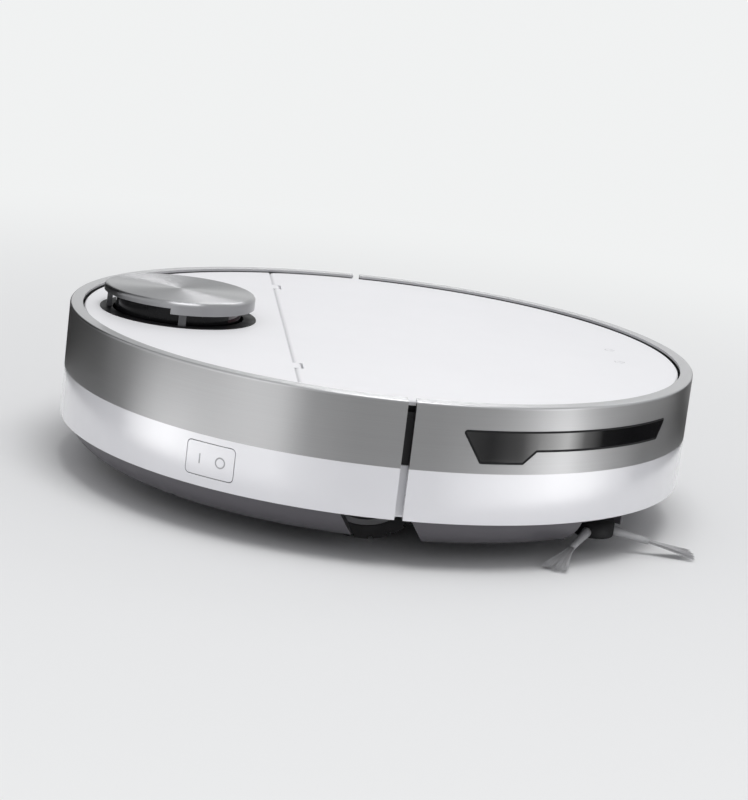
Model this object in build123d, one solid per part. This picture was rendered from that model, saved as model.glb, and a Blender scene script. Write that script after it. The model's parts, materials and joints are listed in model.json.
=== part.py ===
"""Round robot vacuum with a laser turret, a lift-out dustbin and one side brush.

Millimetres. The origin lies on the floor under the centre of the round body: +X is the way the
robot drives, +Y is its left and +Z is up. Each sub-part is written to parts/NAME.step.
"""

import math
import os

from build123d import *

# ---- clearances ----
GLUE_GAP = 0.1  # between glued or screwed pieces
SEAT_GAP = 0.2  # between a lid and its seat
RUN_GAP = 0.03  # radial clearance of a shaft in its hole
SLIDE_GAP = 0.4  # between pieces that move past each other

# ---- body outline ----
BODY_R = 175.0  # outside of the two bands
FLOOR_Z = 10.0  # flat underside above the floor
FLAT_R = BODY_R - 25.0  # where the underside starts to curve up
RIM_R = BODY_R - 3.5  # top of the curved underside
RIM_Z = 25.8
COVE_HALF_ANGLE = 54.5  # the underside is hollowed under the bumper, to this angle each side
COVE_TOP_Z = RIM_Z - 1.4
COVE_END_HALF_ANGLE = 0.5  # of the wall at each end of the hollow
BAND_BOTTOM_Z = RIM_Z + 0.3
BAND_SPLIT_Z = 52.8  # white band below, metal band above
SHELL_T = 2.5
BAND_T = 2.6
SKIN_T = 1.4

# ---- bumper and the wall behind it ----
REAR_END_X = -3.0  # where the rear shell ends
BUMPER_END_X = REAR_END_X + 4.3  # where the bumper starts
BUMPER_TRAVEL = 3.0
BUMPER_IN_R = BODY_R - 4.0
WALL_OUT_R = BUMPER_IN_R - BUMPER_TRAVEL - 1.5
WALL_IN_R = WALL_OUT_R - 2.5
TONGUE_IN_R = WALL_OUT_R + GLUE_GAP  # white tongue that closes the gap beside the bumper
TONGUE_T = 1.4
TONGUE_REACH = 2.0
BUMPER_TAB_ANGLES = (-60.0, 0.0, 60.0)
BUMPER_TAB_HALF_ANGLE = 4.0
BUMPER_TAB_T = 2.2
BUMPER_SPRING_ANGLE = 62.0
BUMPER_SPRING_R = 2.5
SWITCH_ANGLE = 40.0
SWITCH_Z = 43.0
SWITCH_NOSE_R = 2.0
SWITCH_DEPTH = 13.7
SWITCH_HALF_W = 8.0
SWITCH_HALF_H = 7.0

# ---- sensor window in the bumper: angle from straight ahead and height ----
WINDOW_MID = 58.0
WINDOW_INNER_TOP = 34.9
WINDOW_INNER_LOW = 37.4
WINDOW_STEP = 67.7
WINDOW_TAB_INNER = 70.1
WINDOW_TAB_OUTER = 77.8
WINDOW_OUTER = 81.2
WINDOW_TOP_Z = 74.8
WINDOW_LOW_Z = 65.0
WINDOW_TAB_Z = 58.5
WINDOW_CORNER_R = 1.0

# ---- drive wheels ----
AXLE_X = -12.0
TYRE_R = 35.0
TYRE_W = 20.0
TYRE_T = 7.0
WHEEL_Y = BODY_R - 63.5  # middle of the tyre
ARM_T = 10.5
ARM_SIDE_GAP = 1.0
ARM_TYRE_GAP = 2.0
ARM_PIVOT_BACK = 40.0
ARM_PIVOT_Z = TYRE_R + 9.0
ARM_PIVOT_BOSS_R = 9.0
ARM_GEAR_R = 20.0
ARM_PIN_R = 3.0
ARM_PIN_HEAD_R = 5.0
ARM_PIN_HEAD_T = 2.0
AXLE_R = 4.0
HUB_SETBACK = 1.0
HUB_RIM_T = 3.0
HUB_DISH = 4.0
HUB_BOSS_T = 4.0
TREAD_BLOCKS = 22
TREAD_DEPTH = 1.6
TREAD_GROOVE_W = 2.4
WELL_WALL = 2.0
ARCH_HALF = 18.0  # slot in the side panel beside each wheel
ARCH_LEAN = 10.0  # its foot stands that far ahead of its top
WELL_REACH_BACK = ARM_PIVOT_BACK + ARM_PIVOT_BOSS_R + 1.0
WELL_REACH_FRONT = TYRE_R + 5.0
WELL_IN_Y = WHEEL_Y - TYRE_W / 2 - ARM_TYRE_GAP - ARM_T - ARM_SIDE_GAP
WELL_OUT_Y = WHEEL_Y + TYRE_W / 2 + 4.5
WELL_TOP_Z = 2 * TYRE_R + 4.0

# ---- deck under the covers: the wheel wells set its height ----
DECK_T = 2.5
DECK_Z = WELL_TOP_Z + WELL_WALL + 1.5 + DECK_T
COVER_RIM_OUT_R = WALL_IN_R - 2.0
COVER_RIM_T = 4.0
SEAM_RIB_T = 6.0

# ---- covers and the trim ring round them ----
COVER_T = 2.4
COVER_Z = DECK_Z + 6.0  # top face of the covers
TRIM_IN_R = BODY_R - 7.0
COVER_R = TRIM_IN_R - 1.1
COVER_BEVEL = 0.6
TRIM_RISE = 1.7
TRIM_T = 1.4
TRIM_EDGE_R = 1.0

# ---- laser turret ----
ROTOR_R = 35.0
ROTOR_LOW_Z = DECK_Z + 1.0
ROTOR_HEAD_GAP = 1.2
ROTOR_PULLEY_R = 22.0
TURRET_CAP_R = ROTOR_R + 7.0
TURRET_CAP_EDGE_R = 2.2
TURRET_RISE = 13.8
TURRET_CAP_T = 3.9
TURRET_SKIRT = 3.1
TURRET_SKIRT_T = 1.9
TURRET_SKIRT_HALF_ANGLE = 97.5
TURRET_WELL_R = TURRET_CAP_R + 1.5
TURRET_WELL_T = 2.6
TURRET_WELL_RISE = 0.3
TURRET_LINING_T = 2.0
TURRET_POST_ANGLES = (-88.0, 88.0, 180.0)
TURRET_POST_IN_R = ROTOR_R + 2.0
TURRET_POST_T = 2.9
TURRET_POST_HALF_ANGLE = 3.0
LIDAR_BASE_Z = DECK_Z - 16.0
ROTOR_NECK_Z = LIDAR_BASE_Z + 5.0
LIDAR_BASE_R = TURRET_WELL_R + 4.0
LIDAR_WALL = 2.0
LIDAR_POST_R = 8.0
TURRET_X = LIDAR_BASE_R + 1.5 - WALL_IN_R
MOTOR_PULLEY_R = 5.0
LIDAR_MOTOR_OFFSET = LIDAR_BASE_R - LIDAR_WALL - MOTOR_PULLEY_R - 3.5
LIDAR_MOTOR_R = 9.0
LIDAR_SHAFT_R = 1.5
LIDAR_MOTOR_H = 22.0
BELT_Z = LIDAR_BASE_Z + 7.5
BELT_T = 1.2
BELT_W = 3.0
LENS_ANGLES = (-26.0, 26.0)
LENS_HALF_ANGLE = 13.0
LENS_T = 1.5
LENS_MARGIN = 1.2

# ---- lid hinge at the seam between the covers ----
SEAM_X = TURRET_X + TURRET_WELL_R + 15.2
SEAM_GAP = 0.6
BEAD_R = 2.2
LID_PIN_R = 1.0
LID_PIN_LENGTH = 28.0
KNUCKLE_Y = 110.0
KNUCKLE_W = 12.0
LID_CORNER_L = 10.0  # bevelled corners, so that the lid swings up inside the trim ring
LID_CORNER_W = 1.4

# ---- caster ----
CASTER_X = BODY_R - 49.0
CASTER_TRAIL = 6.0
CASTER_WHEEL_R = 11.0
CASTER_WHEEL_W = 11.0
CASTER_EDGE_R = 1.5
CASTER_WELL_R = 20.0
CASTER_WELL_TOP_Z = 28.5
CASTER_DISC_R = 13.0
CASTER_DISC_T = 3.0
CASTER_CHEEK_T = 2.4
CASTER_CHEEK_HALF_L = 6.0
CASTER_CHEEK_DROP = 4.0
CASTER_SIDE_GAP = 0.6
CASTER_STEM_R = 4.0
CASTER_PIN_R = 2.0

# ---- main roller: its length is set by the wheel wells ----
ROLLER_X = 38.0
ROLLER_Z = 21.0
ROLLER_R = 20.0
ROLLER_CORE_R = 10.0
ROLLER_BLADES = 6
ROLLER_BLADE_T = 2.4
ROLLER_STUB_R = 4.0
BEARING_R = 7.0
CHAMBER_GAP = 2.0
CHAMBER_WALL = 2.5
CHAMBER_HALF = WELL_IN_Y - 9.0
ROLLER_HALF = CHAMBER_HALF - 2.0
GUARD_T = 1.4
GUARD_REACH = 3.0
GUARD_CORNER_R = 5.0
LATCH_L = 5.0
LATCH_W = 16.0
LATCH_INSET = 15.0
ROLLER_MOTOR_R = 11.0
ROLLER_MOTOR_X = 76.0
ROLLER_MOTOR_Z = 24.5
ROLLER_MOTOR_L = 42.0
ROLLER_GEARS_T = 3.9
THROAT_LOW_Z = 24.0
THROAT_TOP_Z = 40.0

# ---- side brush ----
BRUSH_ANGLE = -42.62
BRUSH_PLACE_R = WALL_IN_R - 10.4
BRUSH_X = BRUSH_PLACE_R * math.cos(math.radians(BRUSH_ANGLE))
BRUSH_Y = BRUSH_PLACE_R * math.sin(math.radians(BRUSH_ANGLE))
BRUSH_REACH = 57.5
BRUSH_HUB_R = 11.0
BRUSH_BAY_R = 28.0  # round recess that the hub turns in
BRUSH_BAY_Z = 18.0
BRUSH_BAY_WALL = 2.0
BRUSH_BAY_BODY_R = FLAT_R + 6.0
BRUSH_HUB_LOW_Z = 9.0
BRUSH_HUB_EDGE_R = 1.5
BRUSH_SHAFT_R = 3.0
BRUSH_ARM_ANGLES = (-120.0, 0.0, 120.0)
BRUSH_ARM_HIGH_Z = 12.0
BRUSH_ARM_LOW_Z = 1.9
BRUSH_STALK_W = 5.2
BRUSH_STALK_T = 2.4
BRUSH_FAN_W = 14.0
BRUSH_FAN_ROOT_W = 4.0
BRUSH_FAN_T = 1.6
BRUSH_GEARS_R = 6.5
BRUSH_GEARS_LOW_Z = RIM_Z - 0.4
BRUSH_MOTOR_TOP_Z = BRUSH_GEARS_LOW_Z + 10.2
BRUSH_MOTOR_L = 20.0

# ---- dustbin ----
BIN_BACK_X = -12.0
BIN_FRONT_X = 66.0
BIN_HALF = WELL_IN_Y - WELL_WALL - 17.0
BIN_DEEP_HALF = BIN_HALF - 23.0
BIN_WALL = 1.8
BIN_TOP_Z = DECK_Z - 0.6
BIN_DEEP_Z = 15.0
BIN_CORNER_R = 6.0
BIN_BAY_GAP = 2.0
BIN_COVER_T = 1.5
THROAT_HALF = BIN_DEEP_HALF - 10.0
FILTER_T = 8.0
FILTER_FRAME_T = 3.0
FILTER_BACK_T = 2.0
FILTER_PLEATS = 16
HANDLE_X = 28.0
HANDLE_W = 8.0
HANDLE_T = 4.0
HANDLE_EDGE_R = 1.4
HANDLE_WELL_HALF_X = 20.0
HANDLE_WELL_HALF_Y = 34.0
HANDLE_WELL_DEPTH = 16.0
HANDLE_WELL_CORNER_R = 5.0
PORT_HALF = 24.0
PORT_LENGTH = 18.0
PORT_SIDE = 7.0
FLAP_T = 1.4
FLAP_OVERLAP = 1.5
FLAP_PIN_R = 1.2
FLAP_LUG_W = 2.6
FLAP_LUG_T = 1.9
FLAP_LUG_INSET = 2.0

# ---- fan ----
FAN_Z = 48.0
FAN_R = 27.0
FAN_BACK_X = BIN_BACK_X - 38.0
FAN_LENGTH = 30.0
FAN_WALL = 2.0
FAN_FOOT_HALF = 16.0
FAN_FOOT_INSET = 4.0
FAN_DUCT_HALF = BIN_DEEP_HALF - 2.0
FAN_SHAFT_R = 2.0
FAN_MOTOR_R = 13.0
FAN_MOTOR_PROUD = 4.0
IMPELLER_R = 22.0
IMPELLER_HUB_R = 7.0
IMPELLER_PLATE_T = 2.0
IMPELLER_SIDE_GAP = 3.0
IMPELLER_BLADES = 11
IMPELLER_BLADE_T = 1.4

# ---- charging contacts on the underside ----
CONTACT_X = 14.0 - FLAT_R
CONTACT_Y = 25.0
CONTACT_L = 12.0
CONTACT_W = 22.0
CONTACT_PROUD = 0.3
CONTACT_CORNER_R = 2.0

# ---- battery: it fills the floor between the fan and the contacts ----
BATTERY_FRONT_X = FAN_BACK_X - 8.0
BATTERY_BACK_X = CONTACT_X + 16.0
BATTERY_X = (BATTERY_FRONT_X + BATTERY_BACK_X) / 2
BATTERY_L = BATTERY_FRONT_X - BATTERY_BACK_X
BATTERY_W = 108.0
BATTERY_H = 21.0
BATTERY_EDGE_R = 3.0
BATTERY_BAY_GAP = 2.0
BATTERY_BAY_WALL = 2.0
BATTERY_BAY_H = 12.0
DOOR_EDGE_R = 0.6

# ---- circuit board, from the dustbin to the front wall ----
BOARD_BACK_X = BIN_FRONT_X + 6.0
BOARD_FRONT_X = WALL_IN_R - 16.0
BOARD_RIGHT_Y = -52.0
BOARD_LEFT_Y = 52.0
BOARD_MARGIN = 6.0  # from its edge to a post
BOARD_BACK_POST_Y = CHAMBER_HALF - ROLLER_MOTOR_L - 17.0  # clear of the roller's motor
BOARD_Z = 48.0
BOARD_T = 1.6
POST_R = 3.0
# each part: where its middle is, as a share of the board's length and width, then its size
BOARD_PARTS = (
    (0.30, 0.45, 18.0, 18.0, 1.6),
    (0.60, 0.44, 12.0, 12.0, 1.2),
    (0.29, 0.72, 8.0, 14.0, 6.0),
    (0.82, 0.19, 12.0, 24.0, 7.0),
    (0.12, 0.32, 6.0, 26.0, 5.0),
    (0.57, 0.81, 14.0, 22.0, 3.0),
)

# ---- speaker ----
SPEAKER_X = CASTER_X - 18.0
SPEAKER_Y = 42.0
SPEAKER_R = 13.0
SPEAKER_CAN_H = 6.0
SPEAKER_MAGNET_R = 8.0
SPEAKER_MAGNET_H = 5.0

# ---- power rocker in the rear band ----
ROCKER_ANGLE = -123.35
ROCKER_Z = 40.3
ROCKER_W = 28.0
ROCKER_H = 17.1
ROCKER_T = 3.8
ROCKER_GAP = 0.45
ROCKER_CORNER_R = 2.2
ROCKER_PIVOT_R = BODY_R - 5.8
ROCKER_PIN_R = 1.0
ROCKER_HUB_R = 2.6
ROCKER_HUB_INSET = 1.8
ROCKER_SWITCH_HALF_W = 12.0
ROCKER_EAR_HALF_W = 3.0
ROCKER_EAR_T = 1.5

# ---- drop sensors in the underside: angle and radius of each ----
CLIFF_PLACES = ((24.0, FLAT_R - 8), (-24.0, FLAT_R - 8), (132.0, FLAT_R - 16), (-132.0, FLAT_R - 16))
CLIFF_L = 8.0
CLIFF_W = 16.0
CLIFF_RISE = 2.0

# ---- air slots in the curved rear underside ----
VENT_FIRST_ANGLE = 134.0
VENT_STEP = 4.5
VENT_COUNT = 7
VENT_W = 2.4

# ---- screws ----
SCREW_R = 1.4
SCREW_HEAD_R = 3.2
SCREW_BOSS_R = 4.0
SCREW_BOSS_H = 7.5
SCREW_HEAD_H = 1.3
SCREW_HEAD_GAP = 0.3
SCREW_SLOT_L = 4.0
SCREW_SLOT_W = 0.8
SCREW_RING_R = FLAT_R - 5.0
SCREW_ANGLES = (14.0, 75.0, 124.0, 160.0, -14.0, -75.0, -124.0, -160.0)

# ---- worked out from the values above ----
INNER_FLOOR_Z = FLOOR_Z + SHELL_T
WALL_TOP_Z = DECK_Z - DECK_T - GLUE_GAP
REAR_WALL_R = BODY_R - BAND_T - GLUE_GAP
BUMPER_OUT_R = BODY_R - SKIN_T - GLUE_GAP
COVER_LOW_Z = COVER_Z - COVER_T
TRIM_TOP_Z = COVER_Z + TRIM_RISE
TRIM_LOW_Z = TRIM_TOP_Z - TRIM_T
HINGE_X = SEAM_X + BEAD_R
HINGE_Z = COVER_Z - BEAD_R
CAP_TOP_Z = COVER_Z + TURRET_RISE
CAP_LOW_Z = CAP_TOP_Z - TURRET_CAP_T
WELL_TOP_FACE_Z = COVER_Z + TURRET_WELL_RISE
ARM_PIVOT_X = AXLE_X - ARM_PIVOT_BACK
ARM_IN_Y = WELL_IN_Y + ARM_SIDE_GAP
CHAMBER_R = ROLLER_R + CHAMBER_GAP
CHAMBER_OUT_R = CHAMBER_R + CHAMBER_WALL
CHAMBER_SLOT_HALF = CHAMBER_R - 1.0
BIN_FLOOR_Z = ROLLER_Z + CHAMBER_OUT_R + 0.5
BIN_DEEP_FRONT_X = ROLLER_X - CHAMBER_OUT_R - SLIDE_GAP
PORT_X = (BIN_BACK_X + BIN_DEEP_FRONT_X) / 2
LIDAR_MOTOR_X = TURRET_X - LIDAR_MOTOR_OFFSET
LIDAR_POST_TOP_Z = COVER_Z + TRIM_RISE
FLAP_PIN_X = BIN_BACK_X + FLAP_LUG_T
FLAP_PIN_Z = BIN_DEEP_Z - FLAP_PIN_R - GLUE_GAP
BRUSH_SHAFT_TOP_Z = BRUSH_MOTOR_TOP_Z - 3
BIG = 2 * BODY_R


def box(x0, x1, y0, y1, z0, z1):
    """A block between two corners."""
    return Pos((x0 + x1) / 2, (y0 + y1) / 2, (z0 + z1) / 2) * Box(x1 - x0, y1 - y0, z1 - z0)


def disc(radius, z0, z1, x=0.0, y=0.0):
    """An upright cylinder from z0 to z1."""
    return Pos(x, y, (z0 + z1) / 2) * Cylinder(radius, z1 - z0)


def ring(inner, outer, z0, z1, x=0.0, y=0.0):
    """An upright tube from z0 to z1."""
    return disc(outer, z0, z1, x, y) - disc(inner, z0 - 1, z1 + 1, x, y)


def rod_y(radius, x, z, y0, y1):
    """A cylinder along Y."""
    return Pos(x, (y0 + y1) / 2, z) * Rot(90, 0, 0) * Cylinder(radius, abs(y1 - y0))


def rod_x(radius, y, z, x0, x1):
    """A cylinder along X."""
    return Pos((x0 + x1) / 2, y, z) * Rot(0, 90, 0) * Cylinder(radius, abs(x1 - x0))


def front_half(solid):
    """What lies ahead of the bumper's ends."""
    return solid & box(BUMPER_END_X, BIG, -BIG, BIG, -BIG, BIG)


def rear_half(solid):
    """What lies behind the rear shell's ends."""
    return solid & box(-BIG, REAR_END_X, -BIG, BIG, -BIG, BIG)


def wedge(radius, z0, z1, angle, half_angle):
    """An upright slice of a cylinder, centred on an angle."""
    on_axis = (Align.NONE, Align.NONE, Align.CENTER)
    piece = Cylinder(radius, z1 - z0, arc_size=2 * half_angle, align=on_axis)
    return Rot(0, 0, angle - half_angle) * Pos(0, 0, (z0 + z1) / 2) * piece


def along_radius(shape, angle):
    """Turn a shape built along +X to another angle round the body."""
    return Rot(0, 0, angle) * shape


def tangent_arc(start, end):
    """An arc in (radius, height) that leaves start level and bends up or down to end."""
    run = end[0] - start[0]
    rise = end[1] - start[1]
    bend = (run * run + rise * rise) / (2 * rise)
    centre = Vector(start[0], start[1] + bend)
    across = (Vector(*start) - centre) + (Vector(*end) - centre)
    middle = centre + across.normalized() * abs(bend)
    return ThreePointArc(start, (middle.X, middle.Y), end)


def circle_edges(solid, radius, z):
    """The round edges of one radius at one height."""
    found = []
    for edge in solid.edges().filter_by(GeomType.CIRCLE):
        if abs(edge.radius - radius) < 0.01 and abs(edge.center().Z - z) < 0.01:
            found.append(edge)
    return found


def rounded_block(x0, x1, y0, y1, z0, z1, radius):
    """A block with its four upright edges rounded."""
    block = box(x0, x1, y0, y1, z0, z1)
    return fillet(block.edges().filter_by(Axis.Z), radius)


def group(pieces):
    """Separate solids that share one sub-part."""
    return Compound(children=[piece.solid() for piece in pieces])


# ---------------------------------------------------------------- chassis


def contact_block(side, growth, z0, z1):
    """One contact strip's outline, grown on each side."""
    y = side * CONTACT_Y
    half_l = CONTACT_L / 2 + growth
    half_w = CONTACT_W / 2 + growth
    x0 = CONTACT_X - half_l
    x1 = CONTACT_X + half_l
    return rounded_block(x0, x1, y - half_w, y + half_w, z0, z1, CONTACT_CORNER_R + growth)


def cliff_block(angle, radius, growth, z0, z1):
    """One drop sensor's outline, grown on each side."""
    half_l = CLIFF_L / 2 + growth
    half_w = CLIFF_W / 2 + growth
    return along_radius(box(radius - half_l, radius + half_l, -half_w, half_w, z0, z1), angle)


def battery_box(growth, z0, z1):
    """The battery's plan outline, grown on each side."""
    half_l = BATTERY_L / 2 + growth
    half_w = BATTERY_W / 2 + growth
    return box(BATTERY_X - half_l, BATTERY_X + half_l, -half_w, half_w, z0, z1)


def well_box(side, growth, z0, z1):
    """The plan of a wheel well, grown on each side."""
    low_y = WELL_IN_Y - growth
    high_y = WELL_OUT_Y + growth
    y0, y1 = (low_y, high_y) if side > 0 else (-high_y, -low_y)
    return box(AXLE_X - WELL_REACH_BACK - growth, AXLE_X + WELL_REACH_FRONT + growth, y0, y1, z0, z1)


def screw_spots():
    """Plan positions of the case screws."""
    spots = []
    for angle in SCREW_ANGLES:
        turn = math.radians(angle)
        spots.append((SCREW_RING_R * math.cos(turn), SCREW_RING_R * math.sin(turn)))
    return spots


def board_post_spots():
    """Plan positions of the circuit board's four posts."""
    back_x = BOARD_BACK_X + BOARD_MARGIN
    front_x = BOARD_FRONT_X - BOARD_MARGIN
    right_y = BOARD_RIGHT_Y + BOARD_MARGIN
    left_y = BOARD_LEFT_Y - BOARD_MARGIN
    return (
        (back_x, -BOARD_BACK_POST_Y),
        (back_x, BOARD_BACK_POST_Y),
        (front_x, right_y),
        (front_x, left_y),
    )


def door_screw_spots():
    """Plan positions of the battery door's two screws."""
    y = BATTERY_W / 2 + BATTERY_BAY_GAP + BATTERY_BAY_WALL + SCREW_BOSS_R + 1
    return ((BATTERY_X, y), (BATTERY_X, -y))


def base_plate():
    """The underside: a flat floor that curves up to the bands, with its openings and bosses."""
    outline = Polyline((0, FLOOR_Z), (FLAT_R, FLOOR_Z))
    outline += tangent_arc((FLAT_R, FLOOR_Z), (RIM_R, RIM_Z))
    outline += Polyline((RIM_R, RIM_Z), (WALL_IN_R, RIM_Z))
    outline += tangent_arc((FLAT_R, INNER_FLOOR_Z), (WALL_IN_R, RIM_Z))
    outline += Polyline((FLAT_R, INNER_FLOOR_Z), (0, INNER_FLOOR_Z), (0, FLOOR_Z))
    plate = revolve(Plane.XZ * make_face(outline), Axis.Z)
    under_bumper = wedge(BODY_R, 0, RIM_Z, 0, COVE_HALF_ANGLE)
    plate = (plate - under_bumper) + (hollow_front() & under_bumper) + hollow_ends()
    bay_disc = disc(BRUSH_BAY_R + BRUSH_BAY_WALL, FLOOR_Z, BRUSH_BAY_Z + SHELL_T, BRUSH_X, BRUSH_Y)
    plate += bay_disc & disc(BRUSH_BAY_BODY_R, 0, RIM_Z)
    plate -= disc(BRUSH_BAY_R, 0, BRUSH_BAY_Z, BRUSH_X, BRUSH_Y)
    bay_top = INNER_FLOOR_Z + BATTERY_BAY_H
    bay = battery_box(BATTERY_BAY_GAP + BATTERY_BAY_WALL, INNER_FLOOR_Z, bay_top)
    plate += bay
    for x, y in board_post_spots():
        plate += disc(POST_R, INNER_FLOOR_Z, BOARD_Z, x, y)
    for x, y in screw_spots() + list(door_screw_spots()):
        plate += disc(SCREW_BOSS_R, INNER_FLOOR_Z, INNER_FLOOR_Z + SCREW_BOSS_H, x, y)
    plate -= battery_box(BATTERY_BAY_GAP, 0, bay_top + 1)
    for side in (1, -1):
        plate += wheel_arch_shell(side)
        plate -= well_box(side, 0, 0, DECK_Z)
        plate -= wheel_arch(side, 0)
        plate -= contact_block(side, GLUE_GAP, 0, INNER_FLOOR_Z + 1)
    plate -= roller_slot()
    plate -= port_slot()
    plate -= disc(CASTER_WELL_R, 0, CASTER_WELL_TOP_Z, CASTER_X)
    plate -= disc(BRUSH_SHAFT_R + 0.5, 0, DECK_Z / 2, BRUSH_X, BRUSH_Y)
    for angle, radius in CLIFF_PLACES:
        plate -= cliff_block(angle, radius, GLUE_GAP, 0, BIG)
    for x, y in screw_spots() + list(door_screw_spots()):
        plate -= disc(SCREW_R + RUN_GAP, 0, INNER_FLOOR_Z + SCREW_BOSS_H + 1, x, y)
        plate -= disc(SCREW_HEAD_R + SCREW_HEAD_GAP, 0, FLOOR_Z + SCREW_HEAD_H, x, y)
    slot = box(FLAT_R + 3, WALL_IN_R - 2, -VENT_W / 2, VENT_W / 2, 0, RIM_Z - 2)
    for step in range(VENT_COUNT):
        for side in (1, -1):
            plate -= along_radius(slot, side * (VENT_FIRST_ANGLE + VENT_STEP * step))
    return plate


def hollow_front():
    """The underside as it is under the bumper: hollowed up from the flat floor to the rim."""
    inner_r = FLAT_R - SHELL_T
    outline = Polyline((0, FLOOR_Z), (FLAT_R, FLOOR_Z))
    outline += tangent_arc((RIM_R, COVE_TOP_Z), (FLAT_R, FLOOR_Z))
    outline += Polyline((RIM_R, COVE_TOP_Z), (RIM_R, COVE_TOP_Z + SHELL_T))
    outline += tangent_arc((RIM_R, COVE_TOP_Z + SHELL_T), (inner_r, INNER_FLOOR_Z))
    outline += Polyline((inner_r, INNER_FLOOR_Z), (0, INNER_FLOOR_Z), (0, FLOOR_Z))
    return revolve(Plane.XZ * make_face(outline), Axis.Z)


def filled_rim(inner_r, top):
    """All that lies in the curved side panel and over it, from a radius out and up to a height."""
    outline = tangent_arc((FLAT_R, FLOOR_Z), (RIM_R, RIM_Z))
    outline += Polyline((RIM_R, RIM_Z), (RIM_R, top), (inner_r, top), (inner_r, FLOOR_Z), (FLAT_R, FLOOR_Z))
    return revolve(Plane.XZ * make_face(outline), Axis.Z)


def hollow_ends():
    """The upright wall at each end of the hollow under the bumper."""
    rim = filled_rim(FLAT_R - SHELL_T, RIM_Z + SHELL_T) & disc(BODY_R, 0, RIM_Z)
    ends = []
    for side in (1, -1):
        angle = side * (COVE_HALF_ANGLE + COVE_END_HALF_ANGLE)
        ends.append(rim & wedge(BODY_R, 0, RIM_Z, angle, COVE_END_HALF_ANGLE))
    return ends[0] + ends[1]


def wheel_arch(side, growth):
    """The leaning slot through the side panel that shows one wheel, or its shell when grown."""
    low = FLOOR_Z - 1
    high = RIM_Z + growth
    half = ARCH_HALF + growth
    foot = AXLE_X + ARCH_LEAN
    corners = ((AXLE_X - half, high), (AXLE_X + half, high), (foot + half, low), (foot - half, low))
    face = Plane.XZ * make_face(Polyline(*corners, close=True))
    reach = BODY_R - WELL_OUT_Y + 2
    return Pos(0, side * (WELL_OUT_Y + BODY_R) / 2, 0) * extrude(face, reach / 2, both=True)


def wheel_arch_shell(side):
    """The walls and roof round one wheel's slot, from the wheel housing to the upright wall."""
    beside_housing = WELL_OUT_Y + WELL_WALL + GLUE_GAP
    shell = wheel_arch(side, SHELL_T) & filled_rim(WELL_OUT_Y, RIM_Z + SHELL_T)
    shell &= disc(WALL_IN_R - GLUE_GAP, FLOOR_Z, RIM_Z + SHELL_T)
    return shell & box(-BIG, BIG, *sorted((side * beside_housing, side * BODY_R)), 0, BIG)


def roller_slot():
    """The opening under the main roller."""
    half = CHAMBER_SLOT_HALF
    return box(ROLLER_X - half, ROLLER_X + half, -CHAMBER_HALF, CHAMBER_HALF, 0, INNER_FLOOR_Z + 1)


def port_slot():
    """The opening under the dustbin where a station sucks it empty."""
    half = PORT_HALF + PORT_SIDE
    return box(BIN_BACK_X - 1, BIN_DEEP_FRONT_X - 1, -half, half, 0, INNER_FLOOR_Z + 1)


def frame_wall():
    """The upright wall inside the bands, thicker behind the bumper."""
    wall = ring(WALL_IN_R, WALL_OUT_R, RIM_Z, WALL_TOP_Z)
    behind_turn_in = box(-BIG, REAR_END_X - BAND_T - GLUE_GAP, -BIG, BIG, -BIG, BIG)
    wall += ring(WALL_IN_R, REAR_WALL_R, RIM_Z, WALL_TOP_Z) & behind_turn_in
    wall -= along_radius(rocker_prism(ROCKER_GAP), ROCKER_ANGLE)
    for side in (1, -1):
        nose = rod_x(SWITCH_NOSE_R + 0.3, 0, SWITCH_Z, WALL_IN_R - 5, REAR_WALL_R + 5)
        wall -= along_radius(nose, side * SWITCH_ANGLE)
    return wall


def top_deck():
    """The deck that carries the covers, with the dustbin bay and the turret hole."""
    low = DECK_Z - DECK_T
    deck = disc(WALL_OUT_R, low, DECK_Z)
    deck += rear_half(disc(REAR_WALL_R, low, DECK_Z))
    seat = COVER_LOW_Z - SEAT_GAP
    deck += ring(COVER_RIM_OUT_R - COVER_RIM_T, COVER_RIM_OUT_R, DECK_Z, seat)
    rib_x = SEAM_X - SEAM_GAP - 1
    rib = box(rib_x - SEAM_RIB_T, rib_x, -BIG, BIG, DECK_Z, seat)
    deck += rib & disc(COVER_RIM_OUT_R - 1, DECK_Z, seat)
    deck += disc(LIDAR_BASE_R, DECK_Z, seat, TURRET_X)
    deck -= box(HINGE_X - BEAD_R - 1, HINGE_X + BEAD_R + 1, -BIG, BIG, DECK_Z, COVER_Z)
    x0 = BIN_BACK_X - BIN_BAY_GAP
    x1 = BIN_FRONT_X + BIN_BAY_GAP
    bay = BIN_HALF + BIN_BAY_GAP
    deck -= rounded_block(x0, x1, -bay, bay, low - 1, COVER_Z, BIN_CORNER_R)
    deck -= disc(TURRET_WELL_R + 1, low - 1, COVER_Z, TURRET_X)
    return deck


def wheel_housing(side):
    """A box round one drive wheel, open below."""
    shell = well_box(side, WELL_WALL, INNER_FLOOR_Z, WELL_TOP_Z + WELL_WALL)
    shell -= well_box(side, 0, 0, WELL_TOP_Z)
    shell -= wheel_arch(side, 0)
    inner_wall = side * WELL_IN_Y
    shell -= rod_y(ARM_PIN_R + RUN_GAP, ARM_PIVOT_X, ARM_PIVOT_Z, inner_wall - 5, inner_wall + 5)
    return shell


def caster_housing():
    """The cup over the caster, with the socket for its stem."""
    top = CASTER_WELL_TOP_Z + 2
    cup = disc(CASTER_WELL_R + 2, INNER_FLOOR_Z, top, CASTER_X)
    cup -= disc(CASTER_WELL_R, 0, CASTER_WELL_TOP_Z, CASTER_X)
    cup += disc(CASTER_STEM_R + 4, top, top + 10, CASTER_X)
    cup -= disc(CASTER_STEM_R + RUN_GAP, CASTER_WELL_TOP_Z - 1, top + 8, CASTER_X)
    return cup


# ---------------------------------------------------------------- bands, covers and trim


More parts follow.
